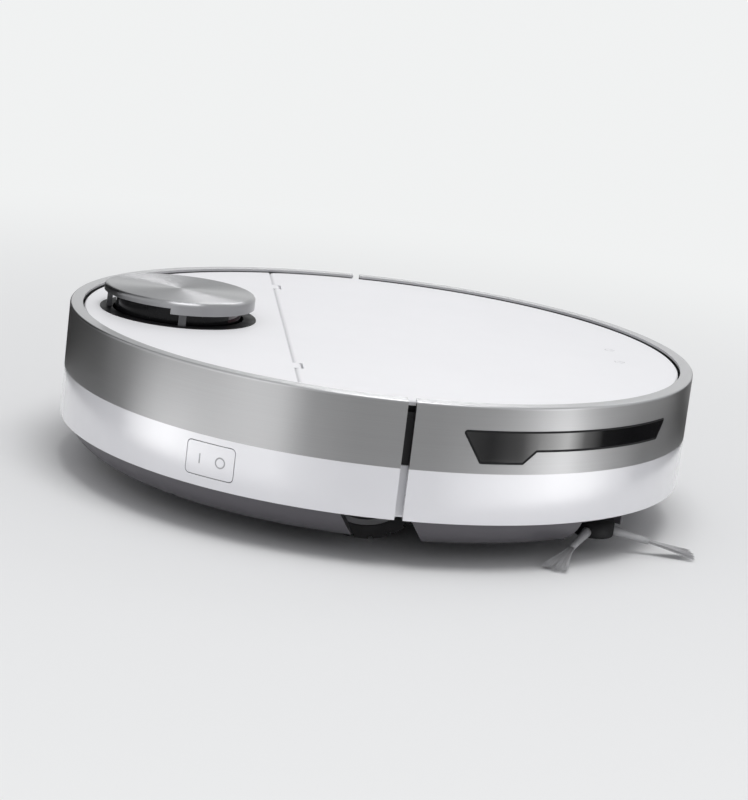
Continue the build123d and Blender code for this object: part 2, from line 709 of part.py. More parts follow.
def rear_band_white():
    """The white lower band round the back: turned in at its ends, with a hole for the rocker."""
    band = rear_half(ring(BODY_R - BAND_T, BODY_R, BAND_BOTTOM_Z, BAND_SPLIT_Z))
    turned_in = ring(TONGUE_IN_R, BODY_R, BAND_BOTTOM_Z, BAND_SPLIT_Z)
    band += turned_in & box(REAR_END_X - BAND_T, REAR_END_X, -BIG, BIG, -BIG, BIG)
    tongue = ring(TONGUE_IN_R, TONGUE_IN_R + TONGUE_T, BAND_BOTTOM_Z, BAND_SPLIT_Z)
    band += tongue & box(REAR_END_X - BAND_T, BUMPER_END_X + TONGUE_REACH, -BIG, BIG, -BIG, BIG)
    return band - along_radius(rocker_prism(ROCKER_GAP), ROCKER_ANGLE)


def rocker_prism(growth):
    """The rocker's rounded outline, run out along +X."""
    half = ROCKER_W / 2 + growth
    tall = ROCKER_H / 2 + growth
    block = box(WALL_IN_R - 4, BODY_R + 4, -half, half, ROCKER_Z - tall, ROCKER_Z + tall)
    return fillet(block.edges().filter_by(Axis.X), ROCKER_CORNER_R + growth)


def rear_band_metal():
    """The metal upper band round the back."""
    return rear_half(ring(BODY_R - BAND_T, BODY_R, BAND_SPLIT_Z, TRIM_LOW_Z))


def trim_ring():
    """The whole trim ring round the covers, rounded outside."""
    trim = ring(TRIM_IN_R, BODY_R, TRIM_LOW_Z, TRIM_TOP_Z)
    return fillet(circle_edges(trim, BODY_R, TRIM_TOP_Z), TRIM_EDGE_R)


def rear_trim_ring():
    """The trim ring's rear half."""
    return rear_half(trim_ring())


def front_trim_ring():
    """The trim ring's front half, which rides on the bumper."""
    return front_half(trim_ring())


def cover_plate(x0, x1):
    """The part of the round top face between two places along X, bevelled at its rim."""
    plate = disc(COVER_R, COVER_LOW_Z, COVER_Z) & box(x0, x1, -BIG, BIG, 0, BIG)
    return chamfer(circle_edges(plate, COVER_R, COVER_Z), COVER_BEVEL)


def rear_cover():
    """The fixed cover behind the seam, with the turret hole and the lid's two hinge tabs."""
    cover = cover_plate(-BIG, SEAM_X - SEAM_GAP)
    cover -= disc(TURRET_WELL_R + GLUE_GAP, 0, BIG, TURRET_X)
    for side in (1, -1):
        y0 = side * KNUCKLE_Y - KNUCKLE_W / 2
        y1 = side * KNUCKLE_Y + KNUCKLE_W / 2
        cover += rod_y(BEAD_R, HINGE_X, HINGE_Z, y0, y1)
        cover += box(SEAM_X - SEAM_GAP - 1, HINGE_X, y0, y1, COVER_LOW_Z, COVER_Z)
        cover -= rod_y(LID_PIN_R + RUN_GAP, HINGE_X, HINGE_Z, y0 - 1, y1 + 1)
    return cover


def front_lid():
    """The hinged lid over the dustbin: a plate with a round bead along the seam."""
    plate = cover_plate(HINGE_X, BIG)
    half = math.sqrt(COVER_R**2 - SEAM_X**2) - 1
    plate += rod_y(BEAD_R, HINGE_X, HINGE_Z, -half, half)
    for side in (1, -1):
        y0 = side * KNUCKLE_Y - KNUCKLE_W / 2 - SLIDE_GAP
        y1 = side * KNUCKLE_Y + KNUCKLE_W / 2 + SLIDE_GAP
        notch = BEAD_R + SLIDE_GAP
        plate -= box(HINGE_X - notch, HINGE_X + notch, y0, y1, 0, BIG)
        bore_half = LID_PIN_LENGTH / 2 + 0.2
        middle = side * KNUCKLE_Y
        plate -= rod_y(LID_PIN_R + RUN_GAP, HINGE_X, HINGE_Z, middle - bore_half, middle + bore_half)
        plate -= lid_corner(side)
    return plate


def lid_corner(side):
    """The sliver cut off one end of the lid beside its hinge."""
    edge = side * math.sqrt(COVER_R**2 - HINGE_X**2)
    beyond = edge + side * LID_CORNER_L
    front_x = HINGE_X + LID_CORNER_L
    front_y = side * math.sqrt(COVER_R**2 - front_x**2)
    back_x = HINGE_X - BEAD_R - 1
    back_y = edge - side * LID_CORNER_W
    outline = Polyline((back_x, back_y), (HINGE_X, back_y), (front_x, front_y), (front_x, beyond),
                       (back_x, beyond), close=True)
    return Pos(0, 0, COVER_LOW_Z - COVER_BEVEL) * extrude(make_face(outline), COVER_T + 2 * COVER_BEVEL)


def pivot_pins():
    """The two lid hinge pins and the two wheel arm pins with their heads."""
    pins = []
    half = LID_PIN_LENGTH / 2
    for side in (1, -1):
        middle = side * KNUCKLE_Y
        pins.append(rod_y(LID_PIN_R, HINGE_X, HINGE_Z, middle - half, middle + half))
        head_y = side * (WELL_IN_Y - WELL_WALL - GLUE_GAP)
        end_y = side * (ARM_IN_Y + ARM_T - GLUE_GAP)
        pin = rod_y(ARM_PIN_R, ARM_PIVOT_X, ARM_PIVOT_Z, head_y, end_y)
        head_out = head_y - side * ARM_PIN_HEAD_T
        pin += rod_y(ARM_PIN_HEAD_R, ARM_PIVOT_X, ARM_PIVOT_Z, head_out, head_y)
        pins.append(pin)
    return group(pins)


# ---------------------------------------------------------------- bumper


def window_outline(side, growth):
    """The sensor window's outline as (distance along the band, height) points."""
    corners = (
        (WINDOW_OUTER, WINDOW_TOP_Z),
        (WINDOW_INNER_TOP, WINDOW_TOP_Z),
        (WINDOW_INNER_LOW, WINDOW_LOW_Z),
        (WINDOW_STEP, WINDOW_LOW_Z),
        (WINDOW_TAB_INNER, WINDOW_TAB_Z),
        (WINDOW_TAB_OUTER, WINDOW_TAB_Z),
    )
    flat = []
    for angle, z in corners:
        flat.append((side * BODY_R * math.sin(math.radians(angle - WINDOW_MID)), z))
    face = make_face(Polyline(*flat, close=True))
    face = fillet(face.vertices(), WINDOW_CORNER_R)
    if growth:
        face = offset(face, growth)
    return face


def window_prism(side, growth):
    """The window's outline run out through the band."""
    outline = Plane(origin=(0, 0, 0), x_dir=(0, 1, 0), z_dir=(1, 0, 0)) * window_outline(side, growth)
    prism = extrude(outline, BODY_R + 5)
    return along_radius(prism, side * WINDOW_MID)


def sensor_windows():
    """The two glossy windows, set in the front metal band."""
    panes = []
    for side in (1, -1):
        skin = ring(BODY_R - SKIN_T + GLUE_GAP, BODY_R - GLUE_GAP, BAND_SPLIT_Z, TRIM_LOW_Z)
        panes.append(front_half(skin) & window_prism(side, 0))
    return group(panes)


def front_band_metal():
    """The metal skin of the bumper, with its two window holes."""
    band = front_half(ring(BODY_R - SKIN_T, BODY_R, BAND_SPLIT_Z, TRIM_LOW_Z))
    for side in (1, -1):
        band -= window_prism(side, GLUE_GAP)
    return band


def front_band_white():
    """The white skin of the bumper, turned in at its ends."""
    band = front_half(ring(BODY_R - SKIN_T, BODY_R, BAND_BOTTOM_Z, BAND_SPLIT_Z))
    turned_in = ring(BUMPER_IN_R, BODY_R, BAND_BOTTOM_Z, BAND_SPLIT_Z)
    return band + (turned_in & box(BUMPER_END_X, BUMPER_END_X + SKIN_T, -BIG, BIG, -BIG, BIG))


def bumper_frame():
    """The carrier behind the bumper's skins, with tabs that ride on the deck's edge."""
    top = TRIM_LOW_Z - GLUE_GAP
    carrier = front_half(ring(BUMPER_IN_R, BUMPER_OUT_R, BAND_BOTTOM_Z, top))
    skin_end = BUMPER_END_X + SKIN_T + GLUE_GAP
    carrier -= box(BUMPER_END_X - 1, skin_end, -BIG, BIG, 0, BAND_SPLIT_Z + GLUE_GAP)
    for angle in BUMPER_TAB_ANGLES:
        tab_low = DECK_Z + SLIDE_GAP
        tab = ring(WALL_OUT_R - 0.5, BUMPER_IN_R + 0.5, tab_low, tab_low + BUMPER_TAB_T)
        carrier += tab & wedge(BODY_R, 0, BIG, angle, BUMPER_TAB_HALF_ANGLE)
    return carrier


def bumper_springs():
    """Two return springs between the wall and the bumper."""
    springs = []
    for side in (1, -1):
        coil = rod_x(BUMPER_SPRING_R, 0, SWITCH_Z, WALL_OUT_R + 0.2, BUMPER_IN_R - 0.2)
        springs.append(along_radius(coil, side * BUMPER_SPRING_ANGLE))
    return group(springs)


def bumper_switches():
    """Two touch switches whose noses reach through the wall."""
    switches = []
    for side in (1, -1):
        z = SWITCH_Z
        back = WALL_IN_R - SEAT_GAP
        half_w = SWITCH_HALF_W
        body = box(back - SWITCH_DEPTH, back, -half_w, half_w, z - SWITCH_HALF_H, z + SWITCH_HALF_H)
        nose_end = BUMPER_IN_R - BUMPER_TRAVEL - 0.6
        body += rod_x(SWITCH_NOSE_R, 0, z, WALL_IN_R - 1, nose_end)
        switches.append(along_radius(body, side * SWITCH_ANGLE))
    return group(switches)


# ---------------------------------------------------------------- turret


def turret_ring():
    """The dark ring that lines the turret hole."""
    top = WELL_TOP_FACE_Z
    lining = ring(TURRET_POST_IN_R - 0.5, TURRET_WELL_R, top - TURRET_WELL_T, top, TURRET_X)
    lining += ring(TURRET_WELL_R - TURRET_LINING_T, TURRET_WELL_R, DECK_Z - DECK_T, top, TURRET_X)
    return lining


def turret_posts():
    """Three posts that carry the cap clear of the turning head."""
    posts = []
    for angle in TURRET_POST_ANGLES:
        arc = ring(TURRET_POST_IN_R, TURRET_POST_IN_R + TURRET_POST_T, WELL_TOP_FACE_Z, CAP_LOW_Z)
        half = TURRET_POST_HALF_ANGLE
        post = arc & wedge(TURRET_WELL_R, WELL_TOP_FACE_Z, CAP_LOW_Z, angle, half)
        posts.append(Pos(TURRET_X, 0, 0) * post)
    return group(posts)


def turret_cap():
    """The round cap, with a deeper skirt round its front."""
    cap = disc(TURRET_CAP_R, CAP_LOW_Z, CAP_TOP_Z)
    cap = fillet(circle_edges(cap, TURRET_CAP_R, CAP_TOP_Z), TURRET_CAP_EDGE_R)
    skirt_low = CAP_LOW_Z - TURRET_SKIRT
    skirt = ring(TURRET_CAP_R - TURRET_SKIRT_T, TURRET_CAP_R, skirt_low, CAP_LOW_Z)
    cap += skirt & wedge(TURRET_CAP_R + 5, skirt_low, CAP_LOW_Z, 0, TURRET_SKIRT_HALF_ANGLE)
    return Pos(TURRET_X, 0, 0) * cap


def lens_block(angle, growth):
    """One lens window of the turning head, or its pocket when grown."""
    low = COVER_Z + LENS_MARGIN - growth
    high = CAP_LOW_Z - ROTOR_HEAD_GAP - LENS_MARGIN + growth
    arc = ring(ROTOR_R - LENS_T - growth, ROTOR_R + (1 if growth else 0), low, high)
    half = LENS_HALF_ANGLE + math.degrees(growth / ROTOR_R)
    return Pos(TURRET_X, 0, 0) * (arc & wedge(ROTOR_R + 5, low, high, angle, half))


def lidar_rotor():
    """The turning laser head: a drum over a belt pulley."""
    rotor = disc(ROTOR_R, ROTOR_LOW_Z, CAP_LOW_Z - ROTOR_HEAD_GAP, TURRET_X)
    rotor += disc(ROTOR_PULLEY_R, ROTOR_NECK_Z, ROTOR_LOW_Z, TURRET_X)
    rotor += disc(ROTOR_PULLEY_R + 2, BELT_Z + BELT_W + 1, ROTOR_LOW_Z, TURRET_X)
    rotor -= disc(LIDAR_POST_R + RUN_GAP, ROTOR_NECK_Z - 1, LIDAR_POST_TOP_Z + SLIDE_GAP, TURRET_X)
    for angle in LENS_ANGLES:
        rotor -= lens_block(angle, GLUE_GAP)
    return rotor


def lidar_lens():
    """The laser's and the camera's windows in the turning head."""
    return group([lens_block(angle, 0) for angle in LENS_ANGLES])


def lidar_base():
    """The cup under the deck that carries the turning head on a post."""
    top = DECK_Z - DECK_T - GLUE_GAP
    cup = disc(LIDAR_BASE_R, LIDAR_BASE_Z, top, TURRET_X)
    cup -= disc(LIDAR_BASE_R - LIDAR_WALL, LIDAR_BASE_Z + LIDAR_WALL, top + 1, TURRET_X)
    cup += disc(LIDAR_POST_R, LIDAR_BASE_Z, LIDAR_POST_TOP_Z, TURRET_X)
    cup -= disc(LIDAR_SHAFT_R + 1, LIDAR_BASE_Z - 1, LIDAR_BASE_Z + 5, LIDAR_MOTOR_X)
    return cup


def lidar_motor():
    """The small motor under the cup."""
    top = LIDAR_BASE_Z - GLUE_GAP
    motor = disc(LIDAR_MOTOR_R, top - LIDAR_MOTOR_H, top, LIDAR_MOTOR_X)
    return motor - disc(LIDAR_SHAFT_R + RUN_GAP, LIDAR_BASE_Z - 10, BIG, LIDAR_MOTOR_X)


def lidar_pulley():
    """The motor's shaft and pulley."""
    pulley = disc(MOTOR_PULLEY_R, BELT_Z - 1, BELT_Z + BELT_W + 1, LIDAR_MOTOR_X)
    return pulley + disc(LIDAR_SHAFT_R, LIDAR_BASE_Z - 9, BELT_Z, LIDAR_MOTOR_X)


def belt_loop(growth):
    """The outline round both pulleys, at a distance from them."""
    big = Circle(ROTOR_PULLEY_R + growth)
    small = Pos(-LIDAR_MOTOR_OFFSET, 0) * Circle(MOTOR_PULLEY_R + growth)
    return make_hull(big.edges() + small.edges())


def lidar_belt():
    """The belt from the motor to the turning head."""
    outside = extrude(belt_loop(GLUE_GAP + BELT_T), BELT_W)
    inside = extrude(belt_loop(GLUE_GAP), BELT_W)
    return Pos(TURRET_X, 0, BELT_Z) * (outside - inside)


# ---------------------------------------------------------------- drive wheels and caster


def wheel_arm(side):
    """The swinging gear case that carries one drive wheel on its axle."""
    y0 = side * ARM_IN_Y
    y1 = side * (ARM_IN_Y + ARM_T)
    axle_z = TYRE_R
    arm = rod_y(ARM_GEAR_R, AXLE_X, axle_z, y0, y1)
    arm += rod_y(ARM_PIVOT_BOSS_R, ARM_PIVOT_X, ARM_PIVOT_Z, y0, y1)
    lean = math.atan2(ARM_PIVOT_Z - axle_z, ARM_PIVOT_BACK)
    length = math.hypot(ARM_PIVOT_Z - axle_z, ARM_PIVOT_BACK)
    middle = Pos((AXLE_X + ARM_PIVOT_X) / 2, (y0 + y1) / 2, (axle_z + ARM_PIVOT_Z) / 2)
    arm += middle * Rot(0, math.degrees(lean), 0) * Box(length, ARM_T, 2 * ARM_PIVOT_BOSS_R)
    axle_end = side * (WHEEL_Y + TYRE_W / 2)
    arm += rod_y(AXLE_R, AXLE_X, axle_z, y1, axle_end)
    arm -= rod_y(ARM_PIN_R + RUN_GAP, ARM_PIVOT_X, ARM_PIVOT_Z, y0 - side * 5, y1 + side * 5)
    return arm


def drive_wheel(side):
    """One wheel hub, dished outside."""
    radius = TYRE_R - TYRE_T
    y0 = side * (WHEEL_Y - TYRE_W / 2 + HUB_SETBACK)
    y1 = side * (WHEEL_Y + TYRE_W / 2 - HUB_SETBACK)
    hub = rod_y(radius, AXLE_X, TYRE_R, y0, y1)
    dish_in = y1 - side * HUB_DISH
    dish = rod_y(radius - HUB_RIM_T, AXLE_X, TYRE_R, dish_in, y1 + side)
    dish -= rod_y(AXLE_R + HUB_BOSS_T, AXLE_X, TYRE_R, dish_in - side, y1 + side * 2)
    hub -= dish
    return hub - rod_y(AXLE_R + RUN_GAP, AXLE_X, TYRE_R, y0 - side * 5, y1 + side * 5)


def tyre(side):
    """One rubber tyre with a blocked tread."""
    y0 = side * (WHEEL_Y - TYRE_W / 2)
    y1 = side * (WHEEL_Y + TYRE_W / 2)
    band = rod_y(TYRE_R, AXLE_X, TYRE_R, y0, y1)
    band -= rod_y(TYRE_R - TYRE_T + GLUE_GAP, AXLE_X, TYRE_R, y0 - side, y1 + side)
    half = TREAD_GROOVE_W / 2
    groove = box(TYRE_R - TREAD_DEPTH, TYRE_R + 2, -TYRE_W, TYRE_W, -half, half)
    for step in range(TREAD_BLOCKS):
        turn = 360 * (step + 0.5) / TREAD_BLOCKS + 90
        band -= Pos(AXLE_X, side * WHEEL_Y, TYRE_R) * Rot(0, turn, 0) * groove
    return band


def caster_fork():
    """The swivelling fork, its stem and its axle."""
    top = CASTER_WELL_TOP_Z - SLIDE_GAP
    wheel_x = CASTER_X - CASTER_TRAIL
    fork = disc(CASTER_DISC_R, top - CASTER_DISC_T, top, CASTER_X)
    fork += disc(CASTER_STEM_R, top - 1, CASTER_WELL_TOP_Z + 9, CASTER_X)
    cheek_y = CASTER_WHEEL_W / 2 + CASTER_SIDE_GAP
    back = wheel_x - CASTER_CHEEK_HALF_L
    front = wheel_x + CASTER_CHEEK_HALF_L
    low = CASTER_WHEEL_R - CASTER_CHEEK_DROP
    for side in (1, -1):
        inner, outer = sorted((side * cheek_y, side * (cheek_y + CASTER_CHEEK_T)))
        fork += box(back, front, inner, outer, low, top - CASTER_DISC_T / 2)
    pin_half = cheek_y + CASTER_CHEEK_T - SLIDE_GAP
    return fork + rod_y(CASTER_PIN_R, wheel_x, CASTER_WHEEL_R, -pin_half, pin_half)


def caster_wheel():
    """The caster's roller."""
    half = CASTER_WHEEL_W / 2
    wheel_x = CASTER_X - CASTER_TRAIL
    wheel = rod_y(CASTER_WHEEL_R, wheel_x, CASTER_WHEEL_R, -half, half)
    wheel = fillet(wheel.edges().filter_by(GeomType.CIRCLE), CASTER_EDGE_R)
    return wheel - rod_y(CASTER_PIN_R + RUN_GAP, wheel_x, CASTER_WHEEL_R, -half - 1, half + 1)


# ---------------------------------------------------------------- roller and side brush


def roller_housing():
    """The chamber round the main roller, with a throat into the dustbin."""
    end = CHAMBER_HALF + CHAMBER_WALL
    low = INNER_FLOOR_Z + GLUE_GAP
    back = ROLLER_X - CHAMBER_OUT_R
    case = rod_y(CHAMBER_OUT_R, ROLLER_X, ROLLER_Z, -end, end)
    case += box(back, ROLLER_X + CHAMBER_OUT_R, -end, end, low, ROLLER_Z)
    duct_half = THROAT_HALF + 2
    case += box(back, ROLLER_X - 10, -duct_half, duct_half, ROLLER_Z, THROAT_TOP_Z + 2)
    case -= box(-BIG, BIG, -BIG, BIG, -BIG, low)
    case -= rod_y(CHAMBER_R, ROLLER_X, ROLLER_Z, -CHAMBER_HALF, CHAMBER_HALF)
    inner = CHAMBER_SLOT_HALF
    case -= box(ROLLER_X - inner, ROLLER_X + inner, -CHAMBER_HALF, CHAMBER_HALF, 0, ROLLER_Z)
    throat_front = ROLLER_X - 8
    case -= box(back - 1, throat_front, -THROAT_HALF, THROAT_HALF, THROAT_LOW_Z, THROAT_TOP_Z)
    return case - rod_y(BEARING_R + GLUE_GAP, ROLLER_X, ROLLER_Z, -end - 1, end + 1)


def roller_bearings():
    """The two end bearings of the main roller."""
    rings = []
    for side in (1, -1):
        y0 = side * (CHAMBER_HALF + GLUE_GAP)
        y1 = side * (CHAMBER_HALF + CHAMBER_WALL - GLUE_GAP)
        race = rod_y(BEARING_R, ROLLER_X, ROLLER_Z, y0, y1)
        race -= rod_y(ROLLER_STUB_R + RUN_GAP, ROLLER_X, ROLLER_Z, y0 - side, y1 + side)
        rings.append(race)
    return group(rings)


def main_roller():
    """The roller: a core with blades and two stub shafts."""
    roller = rod_y(ROLLER_CORE_R, 0, 0, -ROLLER_HALF, ROLLER_HALF)
    half = ROLLER_BLADE_T / 2
    blade = box(ROLLER_CORE_R - 1, ROLLER_R, -ROLLER_HALF, ROLLER_HALF, -half, half)
    for step in range(ROLLER_BLADES):
        roller += Rot(0, 360 * (step + 0.5) / ROLLER_BLADES, 0) * blade
    shaft_half = CHAMBER_HALF + CHAMBER_WALL - 0.3
    roller += rod_y(ROLLER_STUB_R, 0, 0, -shaft_half, shaft_half)
    return Pos(ROLLER_X, 0, ROLLER_Z) * roller


def roller_guard():
    """The clip-in frame round the roller's opening."""
    inner = CHAMBER_SLOT_HALF - 0.5
    outer = CHAMBER_OUT_R + GUARD_REACH
    end = CHAMBER_HALF + CHAMBER_WALL + GUARD_REACH
    top = FLOOR_Z - GLUE_GAP
    low = top - GUARD_T
    frame = rounded_block(ROLLER_X - outer, ROLLER_X + outer, -end, end, low, top, GUARD_CORNER_R)
    frame -= box(ROLLER_X - inner, ROLLER_X + inner, -CHAMBER_HALF + 1, CHAMBER_HALF - 1, 0, FLOOR_Z)
    for side in (1, -1):
        latch_y = side * (CHAMBER_HALF - LATCH_INSET)
        x0 = ROLLER_X + inner + 1
        half = LATCH_W / 2
        frame += box(x0, x0 + LATCH_L, latch_y - half, latch_y + half, low - 1, low)
    return frame


def roller_gearmotor():
    """The roller's motor and its gear case."""
    y0 = CHAMBER_HALF + CHAMBER_WALL + GLUE_GAP
    y1 = y0 + ROLLER_GEARS_T
    low = INNER_FLOOR_Z + 0.5
    top = ROLLER_Z + ROLLER_MOTOR_R
    case = box(ROLLER_X - ROLLER_MOTOR_R, ROLLER_MOTOR_X + ROLLER_MOTOR_R, y0, y1, low, top)
    return case + rod_y(ROLLER_MOTOR_R, ROLLER_MOTOR_X, ROLLER_MOTOR_Z, y0 - ROLLER_MOTOR_L, y0 + 1)


def side_brush_motor():
    """The side brush's gear case and motor."""
    gearbox = disc(BRUSH_GEARS_R, BRUSH_GEARS_LOW_Z, BRUSH_MOTOR_TOP_Z, BRUSH_X, BRUSH_Y)
    x1 = BRUSH_X - SLIDE_GAP
    y0 = BRUSH_Y + SLIDE_GAP
    reach = BRUSH_GEARS_R + BRUSH_MOTOR_L
    gearbox += box(x1 - reach, x1, y0, y0 + reach, BRUSH_GEARS_LOW_Z, BRUSH_MOTOR_TOP_Z)
    foot = BRUSH_GEARS_R + 2
    low = BRUSH_BAY_Z + SHELL_T + GLUE_GAP
    gearbox += box(x1 - reach, x1 - foot, y0 + foot, y0 + reach, low, BRUSH_MOTOR_TOP_Z)
    return gearbox - disc(BRUSH_SHAFT_R + RUN_GAP, 0, BRUSH_SHAFT_TOP_Z + SLIDE_GAP, BRUSH_X, BRUSH_Y)


def side_brush():
    """The side brush: a hub on a shaft, and three arms of bristles sloping to the floor."""
    hub_top = BRUSH_BAY_Z - SLIDE_GAP
    hub = disc(BRUSH_HUB_R, BRUSH_HUB_LOW_Z, hub_top)
    hub = fillet(circle_edges(hub, BRUSH_HUB_R, BRUSH_HUB_LOW_Z), BRUSH_HUB_EDGE_R)
    hub += disc(BRUSH_SHAFT_R, hub_top - 1, BRUSH_SHAFT_TOP_Z)
    fall = BRUSH_ARM_HIGH_Z - BRUSH_ARM_LOW_Z
    slope = math.degrees(math.atan2(fall, BRUSH_REACH - BRUSH_HUB_R))
    reach = BRUSH_REACH / math.cos(math.radians(slope)) - BRUSH_HUB_R
    half_w = BRUSH_STALK_W / 2
    half_t = BRUSH_STALK_T / 2
    stalk = box(-BRUSH_SHAFT_R, reach * 0.5, -half_w, half_w, -half_t, half_t)
    root = (reach * 0.4, BRUSH_FAN_ROOT_W / 2)
    tip = (reach, BRUSH_FAN_W / 2)
    fan = make_face(Polyline((root[0], -root[1]), (tip[0], -tip[1]), tip, root, close=True))
    arm = stalk + Pos(0, 0, -BRUSH_FAN_T / 2) * extrude(fan, BRUSH_FAN_T)
    for angle in BRUSH_ARM_ANGLES:
        hub += Rot(0, 0, angle) * Pos(BRUSH_HUB_R, 0, BRUSH_ARM_HIGH_Z) * Rot(0, slope, 0) * arm
    return Pos(BRUSH_X, BRUSH_Y, 0) * hub


# ---------------------------------------------------------------- dustbin


def dustbin_outline(inset, z0, z1):
    """The bin's shallow part as a block, inset on every side."""
    half = BIN_HALF - inset
    corner = max(BIN_CORNER_R - inset, 1.0)
    return rounded_block(BIN_BACK_X + inset, BIN_FRONT_X - inset, -half, half, z0, z1, corner)


def dustbin_deep(inset, z0, z1):
    """The bin's deep rear part as a block, inset on every side."""
    half = BIN_DEEP_HALF - inset
    return box(BIN_BACK_X + inset, BIN_DEEP_FRONT_X - inset, -half, half, z0, z1)


def dustbin_body():
    """The see-through bin: shallow over the roller chamber, deep behind it."""
    body = dustbin_outline(0, BIN_FLOOR_Z, BIN_TOP_Z) + dustbin_deep(0, BIN_DEEP_Z, BIN_TOP_Z - 1)
    body -= dustbin_outline(BIN_WALL, BIN_FLOOR_Z + BIN_WALL, BIN_TOP_Z + 1)
    body -= dustbin_deep(BIN_WALL, BIN_DEEP_Z + BIN_WALL, BIN_TOP_Z)
    inlet_half = THROAT_HALF - 2
    x = BIN_DEEP_FRONT_X
    body -= box(x - 3, x + 1, -inlet_half, inlet_half, THROAT_LOW_Z + 1, THROAT_TOP_Z - 1)
    outlet_half = FAN_DUCT_HALF - 4
    x = BIN_BACK_X
    body -= box(x - 1, x + 3, -outlet_half, outlet_half, BIN_FLOOR_Z + 4, BIN_TOP_Z - 3.5)
    half = PORT_LENGTH / 2
    body -= box(PORT_X - half, PORT_X + half, -PORT_HALF, PORT_HALF, BIN_DEEP_Z - 1, BIN_DEEP_Z + 3)
    for side in (1, -1):
        inner = side * (PORT_HALF + FLAP_LUG_INSET)
        outer = side * (PORT_HALF + FLAP_LUG_INSET + FLAP_LUG_W)
        y0, y1 = sorted((inner, outer))
        low = FLAP_PIN_Z - FLAP_LUG_T
        body += box(BIN_BACK_X, FLAP_PIN_X + FLAP_LUG_T, y0, y1, low, BIN_DEEP_Z + BIN_WALL / 2)
    bore_half = PORT_HALF + FLAP_LUG_W + 3
    return body - rod_y(FLAP_PIN_R + RUN_GAP, FLAP_PIN_X, FLAP_PIN_Z, -bore_half, bore_half)


def evacuation_flap():
    """The flap under the bin that a station's suction pulls open."""
    pin_half = PORT_HALF + FLAP_LUG_INSET + FLAP_LUG_W
    top = BIN_DEEP_Z - 0.3
    front = PORT_X + PORT_LENGTH / 2 + 1
    half = PORT_HALF + FLAP_OVERLAP
    flap = box(FLAP_PIN_X, front, -half, half, top - FLAP_T, top)
    return flap + rod_y(FLAP_PIN_R, FLAP_PIN_X, FLAP_PIN_Z, -pin_half, pin_half)


def dustbin_cover():
    """The bin's cover, with a finger well under a fixed grip bar."""
    top = BIN_TOP_Z + BIN_COVER_T
    x = HANDLE_X
    cover = dustbin_outline(0, BIN_TOP_Z, top)
    well_low = top - HANDLE_WELL_DEPTH
    half_x = HANDLE_WELL_HALF_X
    half_y = HANDLE_WELL_HALF_Y
    wall = BIN_WALL
    cover += box(x - half_x - wall, x + half_x + wall, -half_y - wall, half_y + wall, well_low - wall, top)
    cover -= rounded_block(x - half_x, x + half_x, -half_y, half_y, well_low, top + 1, HANDLE_WELL_CORNER_R)
    bar_top = COVER_LOW_Z - 1.0
    half = HANDLE_W / 2
    bar = box(x - half, x + half, -half_y - 2, half_y + 2, bar_top - HANDLE_T, bar_top)
    bar = fillet(bar.edges().filter_by(Axis.Y), HANDLE_EDGE_R)
    return cover + bar


def dustbin_filter():
    """The pleated filter inside the bin's rear wall."""
    x0 = BIN_BACK_X + BIN_WALL + GLUE_GAP
    half = FAN_DUCT_HALF
    z0 = BIN_FLOOR_Z + BIN_WALL + GLUE_GAP
    z1 = BIN_TOP_Z - GLUE_GAP
    block = box(x0, x0 + FILTER_T, -half, half, z0, z1)
    frame = FILTER_FRAME_T
    pitch = 2 * (half - frame) / FILTER_PLEATS
    for step in range(FILTER_PLEATS):
        y = -half + frame + pitch * (step + 0.5)
        slot = pitch * 0.25
        back = x0 + FILTER_BACK_T
        block -= box(back, x0 + FILTER_T + 1, y - slot, y + slot, z0 + frame, z1 - frame)
    return block


# ---------------------------------------------------------------- fan, battery, electronics


def fan_housing():
    """The fan's scroll case on its foot, with the duct from the filter."""
    front = FAN_BACK_X + FAN_LENGTH
    duct_end = BIN_BACK_X - SLIDE_GAP
    wall = FAN_WALL
    low = FAN_Z - IMPELLER_R / 2 - 3
    high = BIN_TOP_Z - 3
    case = rod_x(FAN_R, 0, FAN_Z, FAN_BACK_X, front)
    case += box(front - 1, duct_end, -FAN_DUCT_HALF, FAN_DUCT_HALF, low, high)
    foot = FAN_FOOT_HALF
    foot_back = FAN_BACK_X + FAN_FOOT_INSET
    foot_top = FAN_Z - FAN_R / 2
    case += box(foot_back, front - FAN_FOOT_INSET, -foot, foot, INNER_FLOOR_Z + GLUE_GAP, foot_top)
    case -= rod_x(FAN_R - wall, 0, FAN_Z, FAN_BACK_X + wall, front - wall)
    duct_half = FAN_DUCT_HALF - wall
    case -= box(front + 1, duct_end + 1, -duct_half, duct_half, low + wall, high - wall)
    case -= rod_x(IMPELLER_R / 2, 0, FAN_Z, front - wall - 1, front + 3)
    return case - rod_x(FAN_MOTOR_R + GLUE_GAP, 0, FAN_Z, FAN_BACK_X - 1, FAN_BACK_X + wall + 1)


def fan_motor():
    """The fan's motor, let into the back of its case."""
    back = FAN_BACK_X - FAN_MOTOR_PROUD
    motor = rod_x(FAN_MOTOR_R, 0, FAN_Z, back, FAN_BACK_X + FAN_WALL)
    return motor - rod_x(FAN_SHAFT_R + RUN_GAP, 0, FAN_Z, back + 1, BIG)


